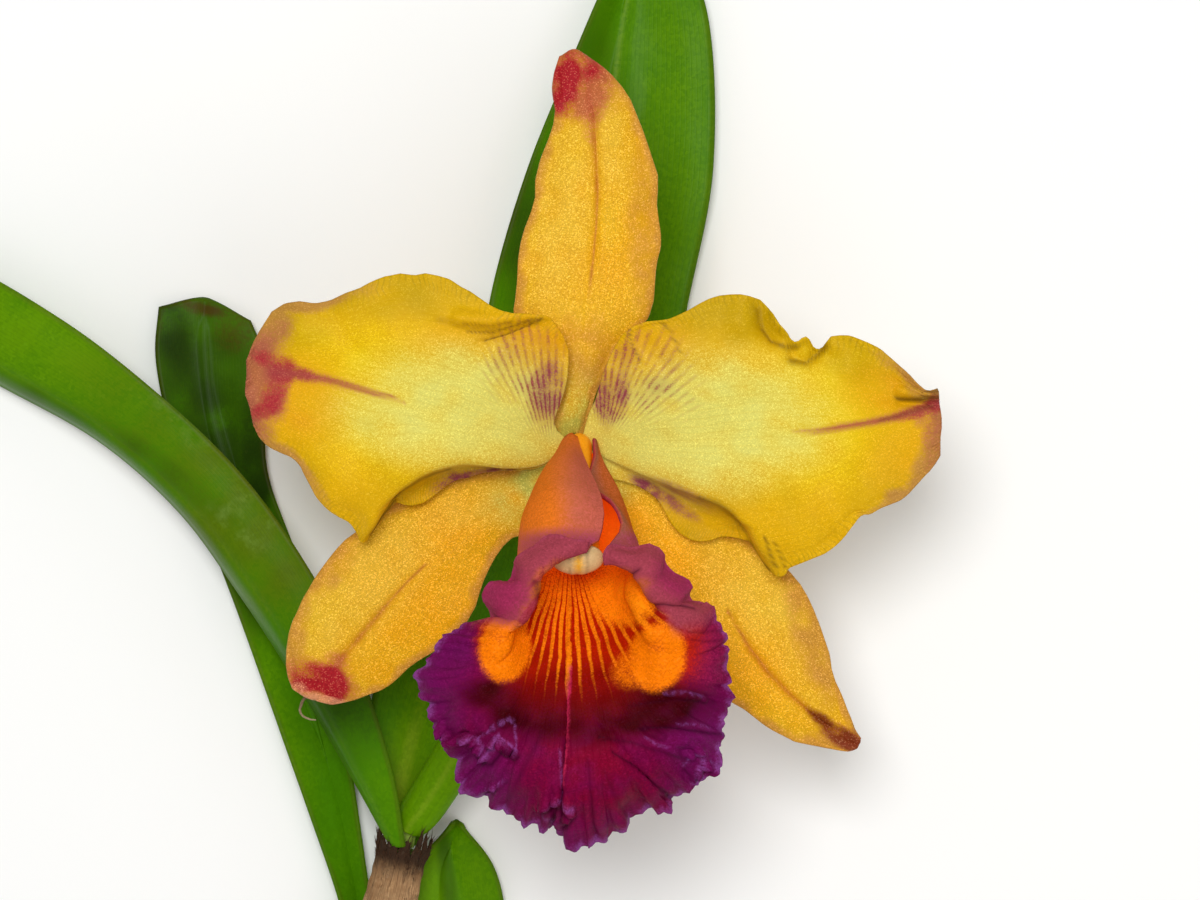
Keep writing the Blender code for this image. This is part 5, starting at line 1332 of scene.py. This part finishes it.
backLeaf = {
    "cells": (150, 34), "seed": 87, "foldShare": 0.0,
    "rails": (
        """-46.1 -101 1.9 -49.2 -94.3 3 -50.4 -86 5 -56.9 -67.1 5 -63.3 -49.2 4.5 -70.2 -29.9 4.5 -77.2
        -11.6 4 -82.7 3.9 4 -85.5 17.4 4 -85.1 27.5 3""",
        """-43.4 -101.4 1.2 -46 -94 1.5 -47.4 -85.5 2.2 -51.7 -64.9 1.5 -57.2 -46.5 .9 -63.6 -27.1 .9 -70.8
        -7.8 .9 -75.2 6.8 .9 -76.6 19.4 .9 -76.5 29.1 1.5""",
        """-40.8 -101 1.7 -42.8 -94 2.3 -44.5 -86 3.5 -47.7 -64.7 4 -51.2 -44.4 4 -57 -25.1 4 -64.1 -5.8 4
        -64.9 5.8 4 -64.5 16.4 4 -67.7 24.8 3""",
    ),
    "blots": {
        # deep: partly the back leaf's own darker green and partly painted shade, like the shade blots
        "deep": "200 400 80 120 -30 1.2 1 160 330 14 60 -30 1.2 .6",
        "shade": """172 335 18 60 -24 1.2 .9 215 420 20 90 -30 1.3 .6 258 460 16 60 0 1 1 228 575 12 60 -24
            1.2 .6""",
        "brown": "205 309 26 6 14 1 .8 238 330 18 20 30 1.2 .6",
        "bright": "195 345 28 40 -40 1.3 .4 255 680 20 120 -22 1.2 .5",
    },
}

lowLeaf = {
    "cells": (90, 34), "seed": 89, "foldShare": 0.0,
    "rails": (
        "-37.8 -121 6.8 -35 -111 4.2 -35.2 -100 3 -36.3 -90 2.5 -34.8 -80 3 -28.8 -72.7 3",
        "-38.6 -124 6.3 -32.8 -115 2.8 -30.5 -103 .9 -29.5 -91 .9 -29.3 -80 .9 -27.9 -72 1.8",
        "-39.4 -127 6.8 -30 -119 3.8 -22.5 -105 3.2 -18.8 -92 3 -20.6 -81 3 -26.8 -72.5 2.6",
    ),
    "blots": {
        "bright": "425 880 24 60 -8 1 1 475 880 20 60 -20 1.3 .5",
        # deep: painted shade along the fold line
        "deep": "446 870 8 50 -8 1.2 .8",
    },
}

sheath = {"from": 5, "to": 25, "wrap": 105.0, "cells": (70, 44)}


def makeSheath(spec, material):
    along, across = spec["cells"]
    whole = smoothPath(table(3, stalk["path"]), 49)
    centre = smoothPath(whole[spec["from"]:spec["to"]], along + 1)
    ahead = unit(np.gradient(centre, axis=0))
    side = unit(np.cross(ahead, (0, 0, 1.0)))
    up = np.cross(side, ahead)
    u = np.linspace(0, 1, along + 1)[:, None, None]
    turn = np.radians(np.linspace(-spec["wrap"], spec["wrap"], across + 1))[None, :, None]
    bend = turn * (1 - 0.55 * smooth(u, 0.72, 1.0))
    halfWidth = 2.7 + 1.3 * np.sin(math.pi * u**0.8) ** 0.8 - 0.1 * u
    halfHeight = 2.65 + 0.5 * u + 0.25 * bell(turn, 0.12)
    points = centre[:, None] + side[:, None] * halfWidth * np.sin(bend)
    points += up[:, None] * halfHeight * np.cos(bend)
    _, acrossMm, rim = bladePlaces(points)
    marks = {
        "fan": np.linspace(0.3, 0.5, across + 1), "bright": 0.9, "brown": smooth(rim, 0.6, 0.1),
        # fold: a painted highlight along the sheath's middle line
        "fold": bell(acrossMm, 0.5), "rim": smooth(rim, 0.8, 0.2),
    }
    addPiece(bladeMesh("stalkSheath", points, 0.6, marks), material, ["floral_sheath"])


leafTissue = leafMaterial(leafSkin)
makeLeaf("leafTop", topLeaf, leafTissue, "leaf_top")
makeLeaf("leafLeft", leftLeaf, leafTissue, "leaf_left")
makeLeaf("leafBack", backLeaf, leafTissue, "leaf_back")
makeLeaf("leafLow", lowLeaf, leafTissue, "leaf_low")
makeSheath(sheath, leafTissue)
print("leaves made")


# Floor, light and camera

studio = {
    "floorCode": "#FBFBF9", "floorHalf": 1.6, "floorDrop": 0.0002,
    "keyPlace": (-0.02, 0.20, 0.86), "keySize": 0.32, "keyPower": 4.2,
    "fillPlace": (0.35, -0.25, 0.70), "fillSize": 0.60, "fillPower": 1.0,
    "skyShare": 0.44, "aimHeight": 50.0,
}


def makeStudio(spec):
    # Pale matt card: to the eye an even near-white ground with soft shadows
    floorMesh = bpy.data.meshes.new("floor")
    grid = bmesh.new()
    bmesh.ops.create_grid(grid, x_segments=2, y_segments=2, size=spec["floorHalf"])
    bmesh.ops.translate(grid, verts=grid.verts, vec=(0, 0, -spec["floorDrop"]))
    grid.to_mesh(floorMesh)
    grid.free()
    card, _, _ = newMaterial(
        "pale matt card", Roughness=0.9, Specular_IOR_Level=0.1, Base_Color=hexLinear(spec["floorCode"]))
    floorMesh.materials.append(card)
    floor = addToScene("floor", floorMesh)
    middle = Vector(toWorld((0, 0, spec["aimHeight"])))
    for label in ("key", "fill"):
        light = bpy.data.lights.new(label, "AREA")
        light.shape = "DISK"
        light.size = spec[label + "Size"]
        light.energy = spec[label + "Power"]
        lamp = addToScene(label, light)
        lamp.location = Vector(spec[label + "Place"])
        lamp.rotation_euler = (middle - lamp.location).to_track_quat("-Z", "Y").to_euler()
    world = bpy.data.worlds.new("soft room")
    world.use_nodes = True
    sky = world.node_tree.nodes["Background"]
    sky.inputs["Color"].default_value = (1, 1, 1, 1)
    sky.inputs["Strength"].default_value = spec["skyShare"]
    bpy.context.scene.world = world


def makeCamera():
    camera = bpy.data.cameras.new("photoCamera")
    camera.sensor_width = photoView["sensorMm"]
    frameWidth = photoView["widthPx"] * photoView["mmPerPx"]
    camera.lens = camera.sensor_width * (photoView["height"] - photoView["planeZ"]) / frameWidth
    eye = addToScene("photoCamera", camera)
    eye.location = toWorld((0, 0, photoView["height"]))
    bpy.context.scene.camera = eye


makeStudio(studio)
makeCamera()
bpy.context.scene.view_settings.view_transform = "Standard"
